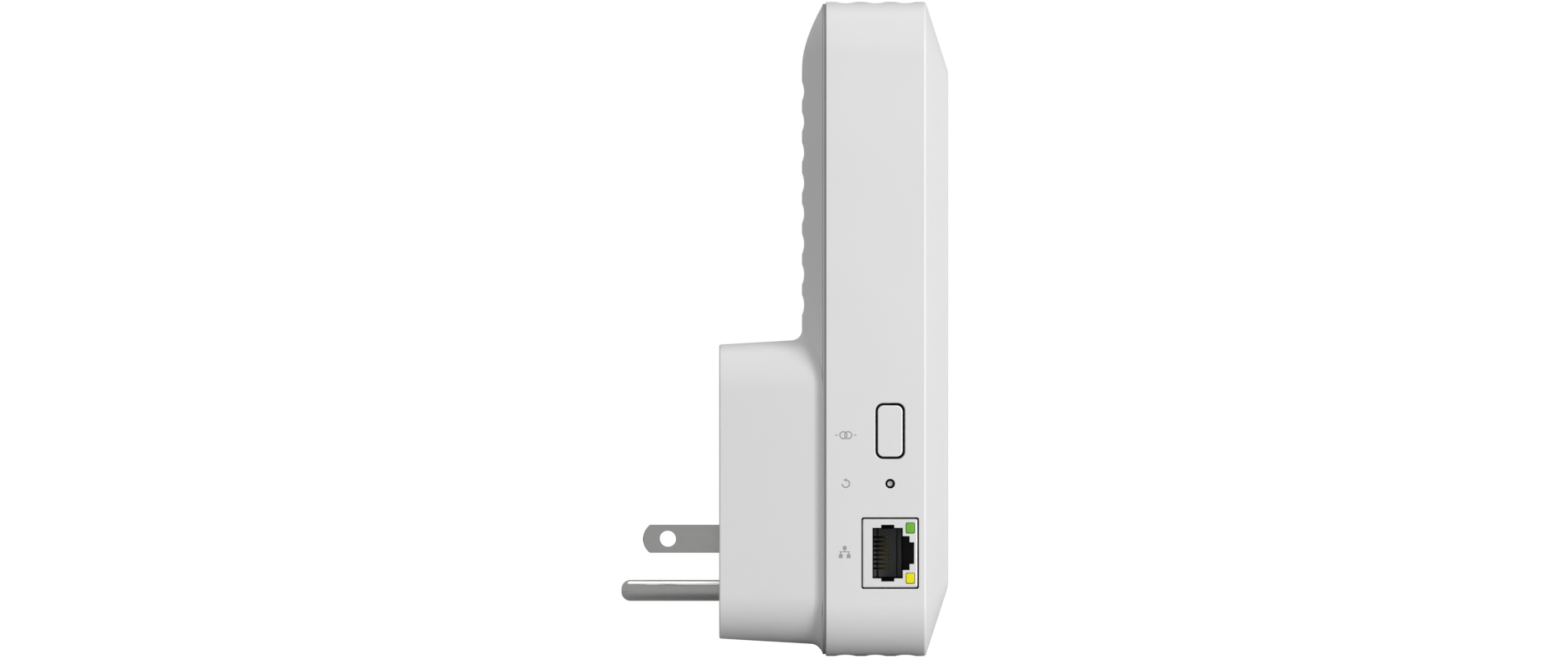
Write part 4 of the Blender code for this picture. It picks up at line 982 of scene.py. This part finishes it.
BACK_PITCH, BACK_DEPTH, BACK_ROWS, TOP_ROW_Z = 7.03, 0.5, 8, 103.1
bars = scallop((0, BACK_Y, TOP_ROW_Z), Y, 1, GROOVE, BACK_DEPTH, 27.6, 0.5)
carve(rear, row(bars, BACK_ROWS, (0, 0, -BACK_PITCH)))
low = (-1.5 * 11.5 - 4.25, BACK_Y - 4, TOP_ROW_Z - 0.9)
slots = rounded_block("slot", low, (low[X] + 8.5, low[Y] + 6, low[Z] + 1.8), Y, 0.85, 6)
row(slots, 4, (11.5, 0, 0))
carve(rear, row(slots, BACK_ROWS, (0, 0, -BACK_PITCH)))
settle(rear, casing_white)
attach(rear, "casing")
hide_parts("rear_shell")

# A seal lies in the joint, a little inside both mouldings. Its grey is painted shade, standing in for the
# shadow of the joint, and it shows as a dark line.
SEAL_IN, SEAL_WIDE = 0.45, 1.95
low_y, high_y = seam_y + 0.04, SEAL_TOP - 0.04
seal = collar("joint_seal", SEAL_IN, SEAL_IN + SEAL_WIDE, low_y, high_y, CORNER - SEAL_IN, 14)
seal_painted_shade = moulded("painted_shade_grey_seal", "A8A8A8", "A0A0A0", 0.7, 0.5, 0.01, ior=1.42)
settle(seal, seal_painted_shade)
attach(seal, "casing")


# ---------------------------------------------------------------- plug insert
# A flush insert of white flame-retardant plastic, flanged behind the wall face, that holds the blades and
# the ground pin. Each stands in a shallow dish.
insert_low, insert_high, _ = cad("plug_insert")
insert = rounded_block(
    "blade_carrier",
    (-INSERT_WIDE / 2, -WALL - 0.8, INSERT_LOW),
    (INSERT_WIDE / 2, 0, INSERT_HIGH),
    Y,
    INSERT_CORNER,
)
ease(insert, lambda edge: lies_at(edge, Y, 0), 0.2)
flange = rounded_block(
    "flange",
    insert_low,
    (insert_high.x, -WALL - 0.3, insert_high.z),
    Y,
    INSERT_CORNER + 1.6,
)
carve(insert, flange, "UNION")
for node in ("neutral_blade", "line_blade"):
    low, high, _ = cad(node)
    dish = rounded_block("dish", (low.x - 1, -0.4, low.z - 1), (high.x + 1, 1, high.z + 1), Y, 1.2, 5)
    carve(insert, dish)
    carve(insert, block("slot", (low.x - 0.3, -9, low.z - 0.3), (high.x + 0.3, 1, high.z + 0.3)))
ground_low, ground_high, ground_mid = cad("ground_pin")
for radius, depth in ((3.4, -0.4), (2.725, -9)):
    hole = rod("seat", radius, (0, depth, ground_mid.z), (0, 1, ground_mid.z), Y, 48)
    carve(insert, hole)
insert_white = moulded("flame_retardant_white_pbt", "E9E8E4", "E3E2DD", 0.4, 0.35, 0.012, ior=1.55)
settle(insert, insert_white)
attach(insert, "casing")
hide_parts("plug_insert")


# ---------------------------------------------------------------- blades and ground pin
# Blanked brass blades with rounded tips and a punched hole, and a turned brass pin with a domed end. All are
# satin nickel plated and held by the insert.
def plated(name, body, worn, roughness, along, streak):
    """Plate over drawn brass: fine streaks along the drawing direction, with rubbed patches."""
    made, tree, shader, place = blank_finish(name, Metallic=1.0)
    stretch = [1 / (streak * MM)] * 3
    stretch[along] = 1 / (40 * streak * MM)
    drawn = add(tree, "ShaderNodeMapping", {"Scale": stretch}, {"Vector": place})
    streaks = add(
        tree, "ShaderNodeTexNoise", {"Scale": 1.0, "Detail": 4.0}, {"Vector": drawn.outputs["Vector"]}
    )
    rubbed = noise(tree, place, 4, 3.0)
    tinted(tree, shader, body, worn, rubbed)
    worked = streaks.outputs["Fac"]
    roughened(tree, shader, worked, roughness - 0.06, roughness + 0.06, From_Min=0.3, From_Max=0.7)
    raised(tree, shader, worked, 0.15, 0.01)
    return made


satin_nickel = plated("satin_nickel_plate", "D4D4D3", "DDDCDB", 0.22, Y, 0.12)
TIP_RADIUS, TIP_STEPS, HOLE_RADIUS, HOLE_Y = 4.0, 9, 1.9, 11.9
low, high, home = cad("neutral_blade")
half = (high.z - low.z) / 2
sweep = math.asin(half / TIP_RADIUS)
y = high.y - TIP_RADIUS * (1 - math.cos(sweep))
neutral = block("neutral_contact", low, (high.x, y, high.z))
edit(neutral)
for step in range(1, TIP_STEPS + 1):
    turn = sweep * (1 - step / TIP_STEPS)
    choose("faces", lambda face: lies_at(face, Y, y))
    next_y = high.y - TIP_RADIUS * (1 - math.cos(turn))
    next_half = max(TIP_RADIUS * math.sin(turn), 0.25)
    push(next_y - y)
    bpy.ops.transform.resize(value=(1, 1, next_half / half), center_override=home * MM)
    half, y = next_half, next_y
carve(neutral, rod("hole", HOLE_RADIUS, (low.x - 2, HOLE_Y, 0), (high.x + 2, HOLE_Y, 0), X, 48))
ease(neutral, lambda edge: edge.calc_face_angle(0) > 1.2, 0.14, 2)
settle(neutral, satin_nickel)
line = copied(neutral, "line_contact", cad("line_blade")[2] - home)
for blade, node in ((neutral, "neutral_blade"), (line, "line_blade")):
    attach(blade, "casing")
    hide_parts(node)

PIN_RADIUS, PIN_TIP = 2.425, 2.1
prong = rod(
    "ground_prong",
    PIN_RADIUS,
    (0, ground_low.y, ground_mid.z),
    (0, ground_high.y - PIN_TIP, ground_mid.z),
    Y,
    48,
)
edit(prong)
y, radius = ground_high.y - PIN_TIP, PIN_RADIUS
for step in range(1, 9):
    turn = math.radians(90 * step / 8)
    choose("faces", lambda face: lies_at(face, Y, y))
    next_y = ground_high.y - PIN_TIP * (1 - math.sin(turn))
    next_radius = PIN_RADIUS - PIN_TIP * (1 - math.cos(turn))
    push(next_y - y)
    share = next_radius / radius
    bpy.ops.transform.resize(value=(share, 1, share), center_override=(0, 0, ground_mid.z * MM))
    y, radius = next_y, next_radius
settle(prong, satin_nickel)
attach(prong, "casing")
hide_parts("ground_pin")


# ---------------------------------------------------------------- main board
# Glass-fibre board under green solder mask, held by four screws. Copper runs below the mask show as raised
# lines, tin-plated cans cover the radios, and a silicone pad joins them to a finned aluminium sink.
mask, tree, shader, place = blank_finish("green_solder_mask", IOR=1.5, Coat_Weight=0.4)
# Runs are 0.2 mm wide on the real board and are drawn 1.2 mm apart.
cells = add(
    tree,
    "ShaderNodeTexVoronoi",
    {"Scale": 1 / (3.2 * MM), "distance": "MANHATTAN", "feature": "F1"},
    {"Vector": place},
)
runs = add(
    tree,
    "ShaderNodeMapRange",
    {"From Min": 0.42, "From Max": 0.48},
    {"Value": cells.outputs["Distance"]},
)
tinted(tree, shader, "1E6B3A", "124A28", runs.outputs["Result"])
weave = noise(tree, place, 0.5, 2.0)
roughened(tree, shader, weave, 0.3, 0.45)
raised(tree, shader, runs.outputs["Result"], 0.4, 0.03)
coat(mask, "main_board")
coat(tin, "radio_shield_2g", "radio_shield_5g")
coat(black_filled, "ethernet_magnetics")

# A gap pad of silicone, slightly squeezed so that its sides bulge, under the finned sink.
pad_low, pad_high, _ = cad("thermal_pad")
pad = rounded_block("gap_pad", pad_low, pad_high, Y, 0.8, 4)
ease(pad, lambda edge: edge.calc_face_angle(0) > 1.2, 0.3, 3)
silicone = moulded("ceramic_filled_silicone", "9DA9B4", "8B98A4", 0.8, 0.6, 0.05, ior=1.42)
settle(pad, silicone)
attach(pad, "casing")
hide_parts("thermal_pad")
coat(plated("anodised_extruded_aluminium", "D9DADC", "CFD1D4", 0.38, Z, 0.2), "heat_sink")


# ---------------------------------------------------------------- antennas
# Printed antennas on thin bare laminate, each fed by a coaxial lead in a black extruded sleeve that clips on
# a gold-flashed socket.
laminate = moulded("bare_glass_laminate", "C2A765", "B2955A", 0.45, 0.5, 0.02)
sleeve_black = moulded("extruded_black_fep", "161616", "1F1F1F", 0.35, 0.6, 0.005, ior=1.34)
for number in (1, 2, 3):
    coat(laminate, f"antenna_{number}")
    coat(sleeve_black, f"antenna_lead_{number}")
    coat(gold, f"coax_socket_{number}")


# ---------------------------------------------------------------- power board
# Bare paper laminate with the mains parts soldered on it and a film behind. Each keeps its CAD shape and gets
# its own finish.
power_finishes = {
    "power_board": moulded("bare_paper_laminate", "A98648", "93723B", 0.5, 0.4, 0.02),
    "transformer": moulded("polyester_transformer_tape", "E0C53A", "D2B32E", 0.32, 1.2, 0.02, ior=1.6),
    "bulk_capacitor_1": moulded("shrunk_pvc_sleeve", "1B2440", "222C4A", 0.28, 1.5, 0.01, ior=1.53),
    "interference_capacitor": moulded("cast_epoxy_box", "D9B52C", "CBA526", 0.3, 0.8, 0.01, ior=1.55),
    "mains_choke": plated("enamelled_copper_winding", "B8672F", "9C5325", 0.3, Y, 0.5),
    "fuse": moulded("unglazed_fuse_ceramic", "E4DCC6", "D8CEB4", 0.65, 0.3, 0.02, ior=1.6),
    "bridge_rectifier": black_filled,
    "insulation_sheet": moulded("calendered_insulation_film", "E2DEC8", "DAD5BC", 0.3, 2.0, 0.01, ior=1.6),
    "power_header": moulded("natural_nylon", "ECE8D8", "E4DFCB", 0.45, 0.4, 0.01, ior=1.53),
    "power_lead_positive": moulded("extruded_red_pvc", "A81E18", "941812", 0.38, 0.6, 0.006, ior=1.53),
    "power_lead_negative": sleeve_black,
}
power_finishes["bulk_capacitor_2"] = power_finishes["output_capacitor"] = power_finishes["bulk_capacitor_1"]
for node, finish in power_finishes.items():
    coat(finish, node)


# ---------------------------------------------------------------- screws
# Steel screws with pan heads and a cross recess, cold headed, thread rolled and bright zinc plated. Each kind
# is modelled once and copied.
def screw(name, node, into):
    """A pan-head screw in the box of a CAD screw, its shank pointing along into, -1 or +1 in Y."""
    low, high, middle = cad(node)
    head_y = high.y if into < 0 else low.y
    tip_y = low.y if into < 0 else high.y
    seat_y = head_y + into * 1.6
    piece = rod(name, 2.3, (middle.x, head_y, middle.z), (middle.x, seat_y, middle.z), Y, 28)
    ease(piece, lambda edge: lies_at(edge, Y, head_y), 0.7, 4)
    edit(piece)
    centre = (middle.x * MM, 0, middle.z * MM)
    choose("faces", lambda face: lies_at(face, Y, seat_y))
    bpy.ops.mesh.inset(thickness=1.3 * MM)
    y = seat_y
    pitch = 0.8
    turns = int((abs(tip_y - seat_y) - 1.4) / pitch)
    for _ in range(turns):
        for step, share in ((0.3, 1.24), (0.12, 1.0), (0.3, 1 / 1.24), (0.08, 1.0)):
            push(into * step)
            if share != 1.0:
                bpy.ops.transform.resize(value=(share, 1, share), center_override=centre)
            y += into * step
    push(tip_y - y)
    bpy.ops.transform.resize(value=(0.35, 1, 0.35), center_override=centre)
    pick(piece)
    bite = sorted((head_y - into * 1, head_y + into * 1.0))
    for wide, tall in ((0.65, 2.5), (2.5, 0.65)):
        recess = block(
            "recess",
            (middle.x - wide / 2, bite[0], middle.z - tall / 2),
            (middle.x + wide / 2, bite[1], middle.z + tall / 2),
        )
        carve(piece, recess)
    return settle(piece, zinc)


zinc = plated("bright_zinc_plate", "C8C9CC", "B9BBC2", 0.3, Y, 0.15)
for kind, count, into in (("case_screw", 4, -1), ("board_screw", 4, -1), ("power_screw", 2, 1)):
    made = None
    for number in range(1, count + 1):
        node = f"{kind}_{number}"
        if made is None:
            made = piece = screw(f"{kind}_head_1", node, into)
            home = cad(node)[2]
        else:
            piece = copied(made, f"{kind}_head_{number}", cad(node)[2] - home)
        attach(piece, "casing")
        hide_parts(node)


# ---------------------------------------------------------------- floor, lights and camera
# A pale floor just under the base, one large soft light ahead of and above the ports, a weak one over the
# plug, and an even white surround.
clear()
bpy.ops.mesh.primitive_circle_add(
    vertices=96, radius=0.6, fill_type="NGON", location=(0, 0, (shell_low.z - 0.4) * MM)
)
floor = named("floor")
pale, tree, shader, place = blank_finish("pale_floor", Roughness=0.9)
sweep_noise = add(tree, "ShaderNodeTexNoise", {"Scale": 12.0, "Detail": 2.0}, {"Vector": place})
tone = add(
    tree,
    "ShaderNodeMix",
    {"data_type": "RGBA", COLOUR_A: rgb("FFFFFF"), COLOUR_B: rgb("FCFCFC")},
    {0: sweep_noise.outputs["Fac"]},
)
shader.inputs["Base Color"].default_value = rgb("B8B8B8")
glow = add(tree, "ShaderNodeEmission", {"Strength": 1.05}, {"Color": tone.outputs[MIXED]})
seen = add(tree, "ShaderNodeLightPath")
blend = add(
    tree,
    "ShaderNodeMixShader",
    {},
    {0: seen.outputs["Is Camera Ray"], 1: shader.outputs[0], 2: glow.outputs[0]},
)
tree.links.new(blend.outputs[0], tree.nodes["Material Output"].inputs["Surface"])
floor.data.materials.append(pale)

target = Vector((0, -0.02, 0.045))


def soft_light(name, way, distance, size, power):
    lamp = bpy.data.lights.new(name, "AREA")
    lamp.shape = "DISK"
    lamp.size = size
    lamp.energy = power
    holder = bpy.data.objects.new(name, lamp)
    bpy.context.scene.collection.objects.link(holder)
    way = Vector(way).normalized()
    holder.location = target + way * distance
    holder.rotation_euler = way.to_track_quat("Z", "Y").to_euler()


soft_light("key", (-0.70, -0.68, 0.22), 1.2, 0.7, 10.4)
soft_light("overhead", (0.16, 0.12, 0.98), 1.1, 0.8, 2.0)

surround = bpy.data.worlds.new("surround")
surround.use_nodes = True
bpy.context.scene.world = surround
tree = surround.node_tree
seen = add(tree, "ShaderNodeLightPath")
dim = tree.nodes["Background"]
dim.inputs["Color"].default_value = (1, 1, 1, 1)
dim.inputs["Strength"].default_value = 0.4
bright = add(tree, "ShaderNodeBackground", {"Color": (1, 1, 1, 1), "Strength": 1.0})
both = add(
    tree,
    "ShaderNodeMixShader",
    {},
    {0: seen.outputs["Is Camera Ray"], 1: dim.outputs[0], 2: bright.outputs[0]},
)
tree.links.new(both.outputs[0], tree.nodes["World Output"].inputs["Surface"])

scene = bpy.context.scene
scene.view_settings.view_transform = "Standard"
lens = bpy.data.cameras.new("camera")
lens.sensor_width = 36
lens.lens = 150.46 * 6 / 1.5
lens.clip_start, lens.clip_end = 0.01, 50
camera = bpy.data.objects.new("camera", lens)
scene.collection.objects.link(camera)
camera.location = (side_x * MM - 6, -0.01485, 0.0483)
camera.rotation_euler = (math.pi / 2, 0, -math.pi / 2)
scene.camera = camera
